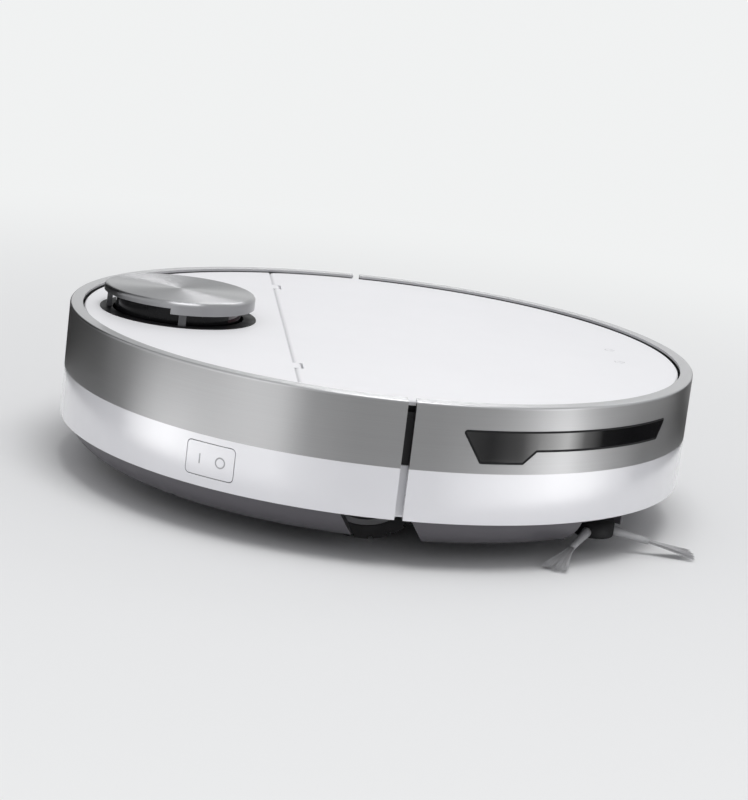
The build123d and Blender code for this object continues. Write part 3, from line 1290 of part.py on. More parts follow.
def fan_impeller():
    """The fan wheel and its shaft."""
    x0 = FAN_BACK_X + FAN_WALL + IMPELLER_SIDE_GAP
    x1 = FAN_BACK_X + FAN_LENGTH - FAN_WALL - IMPELLER_SIDE_GAP
    middle = (x0 + x1) / 2
    wheel = rod_x(IMPELLER_R, 0, FAN_Z, x0, x0 + IMPELLER_PLATE_T)
    wheel += rod_x(IMPELLER_HUB_R, 0, FAN_Z, x0, middle)
    half = IMPELLER_BLADE_T / 2
    blade = box(x0 + IMPELLER_PLATE_T / 2, x1, -half, half, IMPELLER_HUB_R - half, IMPELLER_R)
    for step in range(IMPELLER_BLADES):
        wheel += Pos(0, 0, FAN_Z) * Rot(360 * step / IMPELLER_BLADES, 0, 0) * blade
    wheel -= rod_x(IMPELLER_R / 2 - 1, 0, FAN_Z, middle + IMPELLER_PLATE_T, x1 + 1)
    return wheel + rod_x(FAN_SHAFT_R, 0, FAN_Z, FAN_BACK_X - 2, x0 + IMPELLER_PLATE_T / 2)


def battery_pack():
    """The battery, lying on its door."""
    low = INNER_FLOOR_Z + GLUE_GAP
    pack = battery_box(0, low, low + BATTERY_H)
    return fillet(pack.edges().filter_by(Axis.Y), BATTERY_EDGE_R)


def battery_door():
    """The door in the underside that the battery is changed through."""
    door = battery_box(BATTERY_BAY_GAP - GLUE_GAP, FLOOR_Z, INNER_FLOOR_Z)
    return fillet(door.faces().sort_by(Axis.Z)[0].edges(), DOOR_EDGE_R)


def main_board():
    """The circuit board with its larger parts."""
    length = BOARD_FRONT_X - BOARD_BACK_X
    width = BOARD_LEFT_Y - BOARD_RIGHT_Y
    top = BOARD_Z + BOARD_T
    board = box(BOARD_BACK_X, BOARD_FRONT_X, BOARD_RIGHT_Y, BOARD_LEFT_Y, BOARD_Z, top)
    for along, across, size_x, size_y, height in BOARD_PARTS:
        x = BOARD_BACK_X + along * length
        y = BOARD_RIGHT_Y + across * width
        board += box(x - size_x / 2, x + size_x / 2, y - size_y / 2, y + size_y / 2, top, top + height)
    return board


def speaker():
    """The speaker, facing down over the floor."""
    low = INNER_FLOOR_Z + GLUE_GAP
    middle = low + SPEAKER_CAN_H
    can = disc(SPEAKER_R, low, middle, SPEAKER_X, SPEAKER_Y)
    return can + disc(SPEAKER_MAGNET_R, middle, middle + SPEAKER_MAGNET_H, SPEAKER_X, SPEAKER_Y)


def cliff_sensors():
    """The four drop sensors in the underside."""
    top = INNER_FLOOR_Z + CLIFF_RISE
    return group([cliff_block(angle, radius, 0, FLOOR_Z, top) for angle, radius in CLIFF_PLACES])


def charge_contacts():
    """The two charging contacts."""
    low = FLOOR_Z - CONTACT_PROUD
    return group([contact_block(side, 0, low, INNER_FLOOR_Z) for side in (1, -1)])


def chassis_screws():
    """The case screws and the battery door's two screws."""
    screws = []
    for x, y in screw_spots() + list(door_screw_spots()):
        head_top = FLOOR_Z + SCREW_HEAD_H
        screw = disc(SCREW_HEAD_R, FLOOR_Z + GLUE_GAP, head_top, x, y)
        screw += disc(SCREW_R, head_top, INNER_FLOOR_Z + SCREW_BOSS_H, x, y)
        slot_l = SCREW_SLOT_L / 2
        slot_w = SCREW_SLOT_W / 2
        slot_top = FLOOR_Z + GLUE_GAP + SCREW_HEAD_H / 2
        screw -= box(x - slot_l, x + slot_l, y - slot_w, y + slot_w, 0, slot_top)
        screw -= box(x - slot_w, x + slot_w, y - slot_l, y + slot_l, 0, slot_top)
        screws.append(screw)
    return group(screws)


# ---------------------------------------------------------------- power rocker


def power_rocker():
    """The rocker's face plate and its hub, on an upright pin."""
    face = ring(BODY_R - ROCKER_T, BODY_R, ROCKER_Z - ROCKER_H, ROCKER_Z + ROCKER_H)
    plate = face & rocker_prism(0)
    half = ROCKER_H / 2 - ROCKER_HUB_INSET
    hub = disc(ROCKER_HUB_R, ROCKER_Z - half, ROCKER_Z + half, ROCKER_PIVOT_R)
    hub += box(ROCKER_PIVOT_R, BODY_R - ROCKER_T + 0.5, -2, 2, ROCKER_Z - half, ROCKER_Z + half)
    hub -= disc(ROCKER_PIN_R + RUN_GAP, 0, BIG, ROCKER_PIVOT_R)
    return along_radius(plate + hub, ROCKER_ANGLE)


def switch_frame():
    """The switch body behind the wall, with two ears and the rocker's pin."""
    tall = ROCKER_H / 2
    back = WALL_IN_R - SEAT_GAP
    half_w = ROCKER_SWITCH_HALF_W
    body = box(back - SWITCH_DEPTH, back, -half_w, half_w, ROCKER_Z - tall, ROCKER_Z + tall)
    for side in (1, -1):
        inner = ROCKER_Z + side * (tall - ROCKER_EAR_T)
        outer = ROCKER_Z + side * tall
        z0, z1 = sorted((inner, outer))
        ear = ROCKER_EAR_HALF_W
        body += box(WALL_IN_R - 1, ROCKER_PIVOT_R + 1.3, -ear, ear, z0, z1)
    body += disc(ROCKER_PIN_R, ROCKER_Z - tall + 1, ROCKER_Z + tall - 1, ROCKER_PIVOT_R)
    return along_radius(body, ROCKER_ANGLE)


PARTS = {
    "base_plate": base_plate,
    "frame_wall": frame_wall,
    "top_deck": top_deck,
    "wheel_housing_left": lambda: wheel_housing(1),
    "wheel_housing_right": lambda: wheel_housing(-1),
    "caster_housing": caster_housing,
    "rear_band_white": rear_band_white,
    "rear_band_metal": rear_band_metal,
    "rear_trim_ring": rear_trim_ring,
    "rear_cover": rear_cover,
    "front_lid": front_lid,
    "pivot_pins": pivot_pins,
    "bumper_frame": bumper_frame,
    "front_band_white": front_band_white,
    "front_band_metal": front_band_metal,
    "front_trim_ring": front_trim_ring,
    "sensor_windows": sensor_windows,
    "bumper_springs": bumper_springs,
    "bumper_switches": bumper_switches,
    "turret_ring": turret_ring,
    "turret_posts": turret_posts,
    "turret_cap": turret_cap,
    "lidar_rotor": lidar_rotor,
    "lidar_lens": lidar_lens,
    "lidar_base": lidar_base,
    "lidar_motor": lidar_motor,
    "lidar_pulley": lidar_pulley,
    "lidar_belt": lidar_belt,
    "wheel_arm_left": lambda: wheel_arm(1),
    "wheel_arm_right": lambda: wheel_arm(-1),
    "drive_wheel_left": lambda: drive_wheel(1),
    "drive_wheel_right": lambda: drive_wheel(-1),
    "tyre_left": lambda: tyre(1),
    "tyre_right": lambda: tyre(-1),
    "caster_fork": caster_fork,
    "caster_wheel": caster_wheel,
    "roller_housing": roller_housing,
    "roller_bearings": roller_bearings,
    "main_roller": main_roller,
    "roller_guard": roller_guard,
    "roller_gearmotor": roller_gearmotor,
    "side_brush_motor": side_brush_motor,
    "side_brush": side_brush,
    "dustbin_body": dustbin_body,
    "dustbin_cover": dustbin_cover,
    "dustbin_filter": dustbin_filter,
    "evacuation_flap": evacuation_flap,
    "fan_housing": fan_housing,
    "fan_motor": fan_motor,
    "fan_impeller": fan_impeller,
    "battery_pack": battery_pack,
    "battery_door": battery_door,
    "main_board": main_board,
    "speaker": speaker,
    "cliff_sensors": cliff_sensors,
    "charge_contacts": charge_contacts,
    "chassis_screws": chassis_screws,
    "power_rocker": power_rocker,
    "switch_frame": switch_frame,
}

os.makedirs("parts", exist_ok=True)
for name, make in PARTS.items():
    export_step(make(), f"parts/{name}.step")
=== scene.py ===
"""Looks of the robot vacuum: materials, printed marks, brushes, light and camera. Metres."""

import json
import math
import random

import bpy
from mathutils import Matrix, Vector


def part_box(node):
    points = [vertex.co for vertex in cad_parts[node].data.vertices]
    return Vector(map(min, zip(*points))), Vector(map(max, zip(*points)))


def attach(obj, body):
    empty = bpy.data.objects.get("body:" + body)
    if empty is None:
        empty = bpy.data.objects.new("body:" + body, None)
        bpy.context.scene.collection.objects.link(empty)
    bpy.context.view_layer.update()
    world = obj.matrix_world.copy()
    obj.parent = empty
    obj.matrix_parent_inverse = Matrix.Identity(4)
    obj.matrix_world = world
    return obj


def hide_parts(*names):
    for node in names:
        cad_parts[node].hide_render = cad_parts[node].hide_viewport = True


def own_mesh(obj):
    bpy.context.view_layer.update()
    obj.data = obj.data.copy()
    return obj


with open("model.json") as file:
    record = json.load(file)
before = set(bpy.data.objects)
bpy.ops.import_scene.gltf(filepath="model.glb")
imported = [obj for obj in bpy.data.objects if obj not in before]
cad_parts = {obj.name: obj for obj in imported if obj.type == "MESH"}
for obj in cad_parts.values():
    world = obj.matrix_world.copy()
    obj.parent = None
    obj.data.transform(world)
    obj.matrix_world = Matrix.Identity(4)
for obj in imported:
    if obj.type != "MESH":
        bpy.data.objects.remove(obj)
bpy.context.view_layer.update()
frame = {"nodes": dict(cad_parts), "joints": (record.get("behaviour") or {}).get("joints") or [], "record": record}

MM = 0.001
RNG = random.Random(7)
JOINTS = {joint["name"]: joint for joint in frame["joints"]}

# ---------------------------------------------------------------- camera

CAMERA_AZIMUTH = math.radians(-6.63)
CAMERA_ELEVATION = math.radians(11.02)
CAMERA_DISTANCE = 1.40
CAMERA_ROLL = math.radians(6.98)
CAMERA_LENS = 112.0
CAMERA_NEAR = 0.02
CAMERA_FAR = 100.0
CAMERA_PIVOT = Vector((0.0, 0.0, 0.086))
CAMERA_AIM = Vector((0.0, 0.0, 0.047))


def make_camera():
    """The camera at the photograph's height, side and lean."""
    data = bpy.data.cameras.new("camera")
    data.lens = CAMERA_LENS
    data.clip_start = CAMERA_NEAR
    data.clip_end = CAMERA_FAR
    camera = bpy.data.objects.new("camera", data)
    bpy.context.collection.objects.link(camera)
    out = Vector((
        math.sin(CAMERA_AZIMUTH) * math.cos(CAMERA_ELEVATION),
        -math.cos(CAMERA_AZIMUTH) * math.cos(CAMERA_ELEVATION),
        math.sin(CAMERA_ELEVATION),
    ))
    camera.location = CAMERA_PIVOT + CAMERA_DISTANCE * out
    aim = (CAMERA_AIM - camera.location).to_track_quat("-Z", "Y")
    camera.rotation_euler = (aim.to_matrix() @ Matrix.Rotation(CAMERA_ROLL, 3, "Z")).to_euler()
    bpy.context.scene.camera = camera


# ---------------------------------------------------------------- materials


# a noise stays inside these values nearly everywhere, so they are taken as its ends
NOISE_LOW = 0.3
NOISE_HIGH = 0.7


class Look:
    """A material made of one Principled shader and the nodes that feed it."""

    def __init__(self, name, colour, roughness, **sockets):
        self.material = bpy.data.materials.new(name)
        self.material.use_nodes = True
        self.tree = self.material.node_tree
        self.tree.nodes.clear()
        self.output = self.tree.nodes.new("ShaderNodeOutputMaterial")
        self.shader = self.tree.nodes.new("ShaderNodeBsdfPrincipled")
        self.link(self.shader.outputs["BSDF"], self.output.inputs["Surface"])
        self.shader.inputs["Base Color"].default_value = (*colour, 1.0)
        self.shader.inputs["Roughness"].default_value = roughness
        for socket, value in sockets.items():
            self.shader.inputs[socket.replace("_", " ")].default_value = value
        self.colour = colour
        self.roughness = roughness

    def link(self, source, target):
        """A link from an output to an input."""
        self.tree.links.new(source, target)

    def node(self, kind, **settings):
        """A node with its plain settings and its input values."""
        node = self.tree.nodes.new(kind)
        for key, value in settings.items():
            if hasattr(node, key):
                setattr(node, key, value)
            else:
                node.inputs[key].default_value = value
        return node

    def place(self, stretch=(1.0, 1.0, 1.0)):
        """Object coordinates, stretched along each axis."""
        coords = self.node("ShaderNodeTexCoord")
        mapping = self.node("ShaderNodeMapping", Scale=stretch)
        self.link(coords.outputs["Object"], mapping.inputs["Vector"])
        return mapping.outputs["Vector"]

    def rings(self, centre, per_metre):
        """Coordinates that change with the distance from an upright axis, and the way out from it."""
        coords = self.node("ShaderNodeTexCoord")
        shift = self.node("ShaderNodeVectorMath", operation="SUBTRACT")
        shift.inputs[1].default_value = (centre[0], centre[1], 0.0)
        flat = self.node("ShaderNodeVectorMath", operation="MULTIPLY")
        flat.inputs[1].default_value = (1.0, 1.0, 0.0)
        length = self.node("ShaderNodeVectorMath", operation="LENGTH")
        spread = self.node("ShaderNodeMath", operation="MULTIPLY")
        spread.inputs[1].default_value = per_metre
        joined = self.node("ShaderNodeCombineXYZ")
        self.link(coords.outputs["Object"], shift.inputs[0])
        self.link(shift.outputs[0], flat.inputs[0])
        self.link(flat.outputs[0], length.inputs[0])
        self.link(length.outputs["Value"], spread.inputs[0])
        self.link(spread.outputs[0], joined.inputs["X"])
        return joined.outputs[0], flat.outputs[0]

    def noise(self, scale, detail, roughness=0.5, vector=None):
        """A noise over the object's own coordinates, or over other ones."""
        node = self.node("ShaderNodeTexNoise", Scale=scale, Detail=detail, Roughness=roughness)
        self.link(vector or self.place(), node.inputs["Vector"])
        return node.outputs["Fac"]

    def remap(self, value, low, high):
        """A noise stretched to run from one value to another."""
        node = self.node("ShaderNodeMapRange")
        node.inputs["From Min"].default_value = NOISE_LOW
        node.inputs["From Max"].default_value = NOISE_HIGH
        node.inputs["To Min"].default_value = low
        node.inputs["To Max"].default_value = high
        self.link(value, node.inputs["Value"])
        return node.outputs["Result"]

    def tint(self, value, amount):
        """The base colour goes from a darker shade to a lighter one with a value."""
        dark = [channel * (1.0 - amount) for channel in self.colour]
        light = [min(1.0, channel * (1.0 + amount)) for channel in self.colour]
        ramp = self.node("ShaderNodeValToRGB")
        ramp.color_ramp.elements[0].position = NOISE_LOW
        ramp.color_ramp.elements[0].color = (*dark, 1.0)
        ramp.color_ramp.elements[1].position = NOISE_HIGH
        ramp.color_ramp.elements[1].color = (*light, 1.0)
        self.link(value, ramp.inputs["Fac"])
        self.link(ramp.outputs["Color"], self.shader.inputs["Base Color"])

    def polish(self, value, spread):
        """The roughness varies by a share of itself."""
        low = self.roughness * (1.0 - spread)
        high = self.roughness * (1.0 + spread)
        self.link(self.remap(value, low, high), self.shader.inputs["Roughness"])

    def bump(self, value, depth, strength):
        """A relief of that depth in metres."""
        node = self.node("ShaderNodeBump", Strength=strength, Distance=depth)
        self.link(value, node.inputs["Height"])
        self.link(node.outputs["Normal"], self.shader.inputs["Normal"])


# strength of the relief of the whites, of the metals' fine lines and of grained plastic
PEEL = 0.35
SOFT_PEEL = 0.25
FINE_LINES = 0.4
GRAIN = 0.6
# and its depth, where finishes share one
PEEL_DEPTH = 0.01 * MM
LINE_DEPTH = 0.003 * MM


def gloss_white(name):
    """Painted gloss white: faint orange peel and almost no colour change."""
    coat = {"Coat_Weight": 1.0, "Coat_Roughness": 0.14, "Coat_IOR": 1.6}
    look = Look(name, (0.83, 0.83, 0.86), 0.16, **coat)
    look.tint(look.noise(9.0, 3.0), 0.012)
    look.polish(look.noise(60.0, 3.0), 0.18)
    look.bump(look.noise(420.0, 2.0), PEEL_DEPTH, PEEL)
    return look.material


def satin_white(name):
    """The covers' white: softer than the bands, so that the turret hardly mirrors in it."""
    look = Look(name, (0.83, 0.83, 0.85), 0.46, Specular_IOR_Level=0.08)
    look.tint(look.noise(9.0, 3.0), 0.012)
    look.polish(look.noise(60.0, 3.0), 0.10)
    look.bump(look.noise(420.0, 2.0), PEEL_DEPTH, SOFT_PEEL)
    return look.material


QUARTER_TURN = 0.25  # turns the sheen of brushed and turned metal across its lines


def brushed_band(name):
    """Metal band brushed along its length, so that its highlights stand upright."""
    sheen = {"Anisotropic": 0.85, "Anisotropic_Rotation": QUARTER_TURN}
    look = Look(name, (0.37, 0.37, 0.375), 0.34, Metallic=1.0, **sheen)
    fine = look.noise(1.0, 3.0, 0.6, look.place((9.0, 9.0, 9000.0)))
    look.tint(fine, 0.05)
    look.polish(fine, 0.10)
    look.bump(fine, LINE_DEPTH, FINE_LINES)
    tangent = look.node("ShaderNodeTangent", direction_type="RADIAL", axis="Z")
    look.link(tangent.outputs["Tangent"], look.shader.inputs["Tangent"])
    return look.material


def spun_metal(name, centre, colour, roughness, anisotropy):
    """Metal turned round an upright axis: fine rings and a sheen that fans out from the middle."""
    sheen = {"Anisotropic": anisotropy, "Anisotropic_Rotation": QUARTER_TURN}
    look = Look(name, colour, roughness, Metallic=1.0, **sheen)
    radius, flat = look.rings(centre, 3600.0)
    fine = look.noise(1.0, 2.0, 0.6, radius)
    look.tint(fine, 0.06)
    look.polish(fine, 0.12)
    look.bump(fine, LINE_DEPTH, FINE_LINES)
    cross = look.node("ShaderNodeVectorMath", operation="CROSS_PRODUCT")
    cross.inputs[0].default_value = (0.0, 0.0, 1.0)
    unit = look.node("ShaderNodeVectorMath", operation="NORMALIZE")
    look.link(flat, cross.inputs[1])
    look.link(cross.outputs[0], unit.inputs[0])
    look.link(unit.outputs[0], look.shader.inputs["Tangent"])
    return look.material


def moulded(name, colour, roughness, grain=900.0, depth=0.04 * MM, change=0.05, **sockets):
    """Moulded plastic or rubber with a spark-eroded grain."""
    look = Look(name, colour, roughness, **sockets)
    look.tint(look.noise(14.0, 4.0), change)
    look.polish(look.noise(90.0, 4.0), 0.15)
    look.bump(look.noise(grain, 3.0), depth, GRAIN)
    return look.material


def polished(name, colour, roughness, coat, **sockets):
    """Polished plastic or glass with faint smudges."""
    look = Look(name, colour, roughness, Coat_Weight=coat, Coat_Roughness=0.03, **sockets)
    look.tint(look.noise(25.0, 3.0), 0.15)
    look.polish(look.noise(30.0, 5.0), 0.5)
    return look.material


def turned_steel(name, colour, roughness, stretch):
    """Small plated or turned metal parts."""
    look = Look(name, colour, roughness, Metallic=1.0)
    fine = look.noise(1.0, 3.0, 0.6, look.place(stretch))
    look.tint(fine, 0.08)
    look.polish(fine, 0.25)
    look.bump(fine, 0.01 * MM, FINE_LINES)
    return look.material


def smoked(name):
    """See-through smoke-grey plastic with faint scratches."""
    look = Look(name, (0.42, 0.42, 0.45), 0.10, Transmission_Weight=0.72, IOR=1.49)
    look.tint(look.noise(18.0, 3.0), 0.08)
    look.polish(look.noise(220.0, 5.0), 0.5)
    look.bump(look.noise(1.0, 3.0, 0.6, look.place((300.0, 2500.0, 300.0))), 0.006 * MM, 0.3)
    return look.material


def pleated_paper(name):
    """Filter paper with its fibres."""
    look = Look(name, (0.78, 0.77, 0.71), 0.9, Sheen_Weight=0.2)
    look.tint(look.noise(1.0, 5.0, 0.7, look.place((500.0, 500.0, 1800.0))), 0.08)
    look.bump(look.noise(1800.0, 4.0), 0.06 * MM, GRAIN)
    return look.material


def solder_mask(name):
    """Circuit board: green mask over a faint copper pattern."""
    look = Look(name, (0.020, 0.13, 0.065), 0.32, Coat_Weight=0.3)
    bricks = look.node("ShaderNodeTexBrick", Scale=180.0)
    bricks.inputs["Color1"].default_value = (0.45, 0.45, 0.45, 1.0)
    bricks.inputs["Color2"].default_value = (0.55, 0.55, 0.55, 1.0)
    bricks.inputs["Mortar"].default_value = (0.75, 0.75, 0.75, 1.0)
    look.link(look.place(), bricks.inputs["Vector"])
    look.tint(bricks.outputs["Color"], 0.45)
    look.polish(look.noise(300.0, 3.0), 0.2)
    return look.material


# colour and roughness, and for some the grain per metre, its depth and how much the colour changes
MOULDED = {
    "charcoal": ((0.105, 0.10, 0.112), 0.42),
    "black_plastic": ((0.020, 0.020, 0.022), 0.48),
    "grey_plastic": ((0.30, 0.30, 0.31), 0.45),
    "tyre_rubber": ((0.030, 0.030, 0.032), 0.78, 700.0, 0.12 * MM, 0.2),
    "soft_rubber": ((0.045, 0.045, 0.050), 0.7, 1200.0, 0.03 * MM, 0.12),
    "battery_wrap": ((0.055, 0.058, 0.072), 0.35, 300.0, 0.03 * MM, 0.1),
    "bristle": ((0.44, 0.44, 0.45), 0.55, 1500.0, 0.02 * MM, 0.25),
    "bristle_pale": ((0.40, 0.40, 0.41), 0.5, 1500.0, 0.02 * MM, 0.15),
    "print_grey": ((0.40, 0.40, 0.42), 0.45, 2500.0, 0.004 * MM, 0.05),
    "seam_grey": ((0.66, 0.66, 0.68), 0.5, 2000.0, 0.01 * MM, 0.05),
}
# moulded too, but with less shine: colour, roughness, depth of the grain and specular level
MATT = {
    "turret_satin": ((0.010, 0.010, 0.011), 0.5, 0.01 * MM, 0.12),
    "matt_black": ((0.008, 0.008, 0.009), 0.62, 0.02 * MM, 0.2),
}
# colour, roughness, coat and other sockets
POLISHED = {
    "window_black": ((0.003, 0.003, 0.004), 0.05, 1.0, {"IOR": 1.9}),
    "turret_black": ((0.006, 0.006, 0.007), 0.16, 0.0, {"Specular_IOR_Level": 0.22}),
    "turret_post": ((0.10, 0.10, 0.105), 0.22, 0.2, {}),
    "lens": ((0.045, 0.010, 0.018), 0.05, 0.6, {}),
}
# colour, roughness and how much the lines are stretched along each axis
TURNED = {
    "steel": ((0.52, 0.52, 0.53), 0.30, (900.0, 900.0, 900.0)),
    "spring_steel": ((0.58, 0.58, 0.60), 0.22, (900.0, 900.0, 900.0)),
    "contact_plate": ((0.74, 0.66, 0.50), 0.24, (40.0, 1800.0, 40.0)),
}
# finishes that need nothing but their name
SINGLE_MAKERS = {
    "white_gloss": gloss_white,
    "white_satin": satin_white,
    "brushed_metal": brushed_band,
    "bin_smoke": smoked,
    "filter_paper": pleated_paper,
    "board_green": solder_mask,
}


def make_materials():
    """Every finish by its name, which is its slot's name for most."""
    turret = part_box("turret_cap")
    turret_centre = ((turret[0].x + turret[1].x) / 2, (turret[0].y + turret[1].y) / 2)
    made = {name: maker(name) for name, maker in SINGLE_MAKERS.items()}
    made["trim_metal"] = spun_metal("trim_metal", (0.0, 0.0), (0.44, 0.44, 0.45), 0.32, 0.5)
    made["cap_metal"] = spun_metal("cap_metal", turret_centre, (0.31, 0.31, 0.32), 0.30, 0.92)
    for name, values in MOULDED.items():
        made[name] = moulded(name, *values)
    for name, (colour, roughness, depth, level) in MATT.items():
        made[name] = moulded(name, colour, roughness, depth=depth, Specular_IOR_Level=level)
    for name, (colour, roughness, coat, sockets) in POLISHED.items():
        made[name] = polished(name, colour, roughness, coat, **sockets)
    for name, values in TURNED.items():
        made[name] = turned_steel(name, *values)
    return made


# nodes whose finish isn't quite their slot's
NODE_FINISH = {
    "turret_posts": "turret_post",
    "turret_ring": "turret_satin",
    "front_lid": "white_satin",
    "rear_cover": "white_satin",
}


def dress_nodes(materials):
    """Each CAD node gets the finish of its slot."""
    for subpart in frame["record"]["subparts"]:
        node = frame["nodes"][subpart["node"]]
        node.data.materials.clear()
        finish = NODE_FINISH.get(subpart["node"], subpart["material_slot"])
        node.data.materials.append(materials[finish])


# ---------------------------------------------------------------- pieces


def add_piece(name, shape, material, body, smooth=True):
    """A piece made of a shape, which rides on a body."""
    mesh = bpy.data.meshes.new(name)
    mesh.from_pydata([tuple(v) for v in shape.vertices], [], shape.faces)
    mesh.update()
    if smooth:
        mesh.polygons.foreach_set("use_smooth", [True] * len(mesh.polygons))
    mesh.materials.append(material)
    piece = bpy.data.objects.new(name, mesh)
    bpy.context.collection.objects.link(piece)
    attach(piece, body)
    return piece


def circle_point(radius, turn):
    """The two coordinates of a point on a circle, by its angle in radians."""
    return radius * math.cos(turn), radius * math.sin(turn)


class Shape:
    """Vertices and faces gathered for one mesh."""

    def __init__(self):
        self.vertices = []
        self.faces = []

    def add(self, vertices, faces):
        """More vertices, and faces that count from the first of them."""
        first = len(self.vertices)
        self.vertices.extend(vertices)
        self.faces.extend(tuple(first + i for i in face) for face in faces)

    def tube(self, path, radii, sides, guide=Vector((0, 0, 1))):
        """A closed tube along points, with a radius at each. It never runs along its guide."""
        rings = []
        for index, point in enumerate(path):
            before = path[max(index - 1, 0)]
            after = path[min(index + 1, len(path) - 1)]
            along = (after - before).normalized()
            side = along.cross(guide).normalized()
            up = side.cross(along)
            ring = []
            for step in range(sides):
                across, rise = circle_point(radii[index], 2 * math.pi * step / sides)
                ring.append(point + across * side + rise * up)
            rings.append(ring)
        faces = []
        for row in range(len(path) - 1):
            for step in range(sides):
                a = row * sides + step
                b = row * sides + (step + 1) % sides
                faces.append((a, b, b + sides, a + sides))
        last = (len(path) - 1) * sides
        faces.append(tuple(range(sides - 1, -1, -1)))
        faces.append(tuple(last + i for i in range(sides)))
        self.add([v for ring in rings for v in ring], faces)

    def block(self, low, high):
        """A box between two corners."""
        corners = []
        for x in (low[0], high[0]):
            for y in (low[1], high[1]):
                corners += [Vector((x, y, low[2])), Vector((x, y, high[2]))]
        faces = [(0, 1, 3, 2), (4, 6, 7, 5), (0, 4, 5, 1), (2, 3, 7, 6), (0, 2, 6, 4), (1, 5, 7, 3)]
        self.add(corners, faces)

    def spun(self, profile, centre, sides):
        """A closed profile of (radius, height) turned round an upright axis."""
        points = []
        for radius, height in profile:
            for step in range(sides):
                x, y = circle_point(radius, 2 * math.pi * step / sides)
                points.append(centre + Vector((x, y, height)))
        faces = []
        count = len(profile)
        for row in range(count):
            for step in range(sides):
                a = row * sides + step
                b = row * sides + (step + 1) % sides
                shift = ((row + 1) % count - row) * sides
                faces.append((a, b, b + shift, a + shift))
        self.add(points, faces)


def flat_mark(name, outlines, material, body, place):
    """Flat lines on a surface: each outline has its points, its width and whether it is closed."""
    shape = Shape()
    for points, width, closed in outlines:
        count = len(points)
        vertices = []
        for index, point in enumerate(points):
            before = points[index - 1] if closed or index else points[0]
            after = points[(index + 1) % count] if closed or index < count - 1 else points[-1]
            along = (Vector(after) - Vector(before)).normalized()
            side = Vector((-along.y, along.x)) * width / 2
            vertices.append(place(Vector(point) + side))
            vertices.append(place(Vector(point) - side))
        faces = []
        for index in range(count if closed else count - 1):
            a = 2 * index
            b = 2 * ((index + 1) % count)
            faces.append((a, a + 1, b + 1, b))
        shape.add(vertices, faces)
    add_piece(name, shape, material, body, smooth=False)


def arc_points(radius, start, end, steps):
    """Points on a circle between two angles in degrees."""
    share = (end - start) / steps
    return [circle_point(radius, math.radians(start + share * step)) for step in range(steps + 1)]


MARK_PROUD = 0.03 * MM  # how far flat marks lie over their surface
ICON_X = 133.5 * MM
ICON_Y = 16.1 * MM
ICON_R = 2.6 * MM
ICON_LINE = 0.45 * MM
ICON_ARC = (125, 415)  # the power mark's open ring, in degrees
ICON_ARC_STEPS = 40
# the power mark's stroke and the home mark's roof and walls, as shares of ICON_R
ICON_STROKE = ((0.0, 0.2), (0.0, 1.25))
ICON_ROOF = ((-1.15, 0.1), (0.0, 1.15), (1.15, 0.1))
ICON_WALLS = ((-0.75, 0.3), (-0.75, -1.0), (0.75, -1.0), (0.75, 0.3))


def touch_icons(materials):
    """Two faint touch marks near the front of the lid: power and home."""
    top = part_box("front_lid")[1].z + MARK_PROUD

    def on_lid(centre_y):
        # the marks read from behind the robot: their up is +X and their right is -Y
        return lambda p: Vector((ICON_X + p.y, centre_y - p.x, top))

    def stroke(shares):
        return [(ICON_R * x, ICON_R * y) for x, y in shares], ICON_LINE, False

    ink = materials["print_grey"]
    ring = (arc_points(ICON_R, *ICON_ARC, ICON_ARC_STEPS), ICON_LINE, False)
    marks = (
        ("icon_power", [ring, stroke(ICON_STROKE)], ICON_Y),
        ("icon_home", [stroke(ICON_ROOF), stroke(ICON_WALLS)], -ICON_Y),
    )
    for name, lines, centre_y in marks:
        flat_mark(name, lines, ink, "lid", on_lid(centre_y))


ROCKER_MARK_TURN = 2.0  # degrees from the rocker's middle to each mark
ROCKER_RING_R = 2.6 * MM
ROCKER_RING_ARC = (0, 351)  # its last strip closes the ring
ROCKER_RING_STEPS = 39
ROCKER_BAR_H = 5.2 * MM
ROCKER_LINE = 0.75 * MM


def rocker_marks(materials):
    """The I and O on the power rocker's face."""
    low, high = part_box("power_rocker")
    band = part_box("rear_band_white")
    radius = -band[0].x + MARK_PROUD
    middle = JOINTS["power_rock"]["pos_m"]
    facing = math.atan2(middle[1], middle[0])
    centre_z = (low.z + high.z) / 2

    def on_face(turn):
        angle = facing + math.radians(turn)

        def place(p):
            return Vector((*circle_point(radius, angle + p.x / radius), centre_z + p.y))

        return place

    bar = [([(0.0, -ROCKER_BAR_H / 2), (0.0, ROCKER_BAR_H / 2)], ROCKER_LINE, False)]
    ring = [(arc_points(ROCKER_RING_R, *ROCKER_RING_ARC, ROCKER_RING_STEPS), ROCKER_LINE, True)]
    ink = materials["print_grey"]
    marks = (("rocker_mark_on", bar, -ROCKER_MARK_TURN), ("rocker_mark_off", ring, ROCKER_MARK_TURN))
    for name, lines, turn in marks:
        flat_mark(name, lines, ink, "power_rocker", on_face(turn))


HUB_R = 11.0 * MM
HUB_LOW = 9.0 * MM
HUB_HIGH = 17.7 * MM
HUB_EDGE = 1.5 * MM
HUB_EDGE_STEPS = 6
HUB_SIDES = 64
HUB_BORE_R = 0.2 * MM
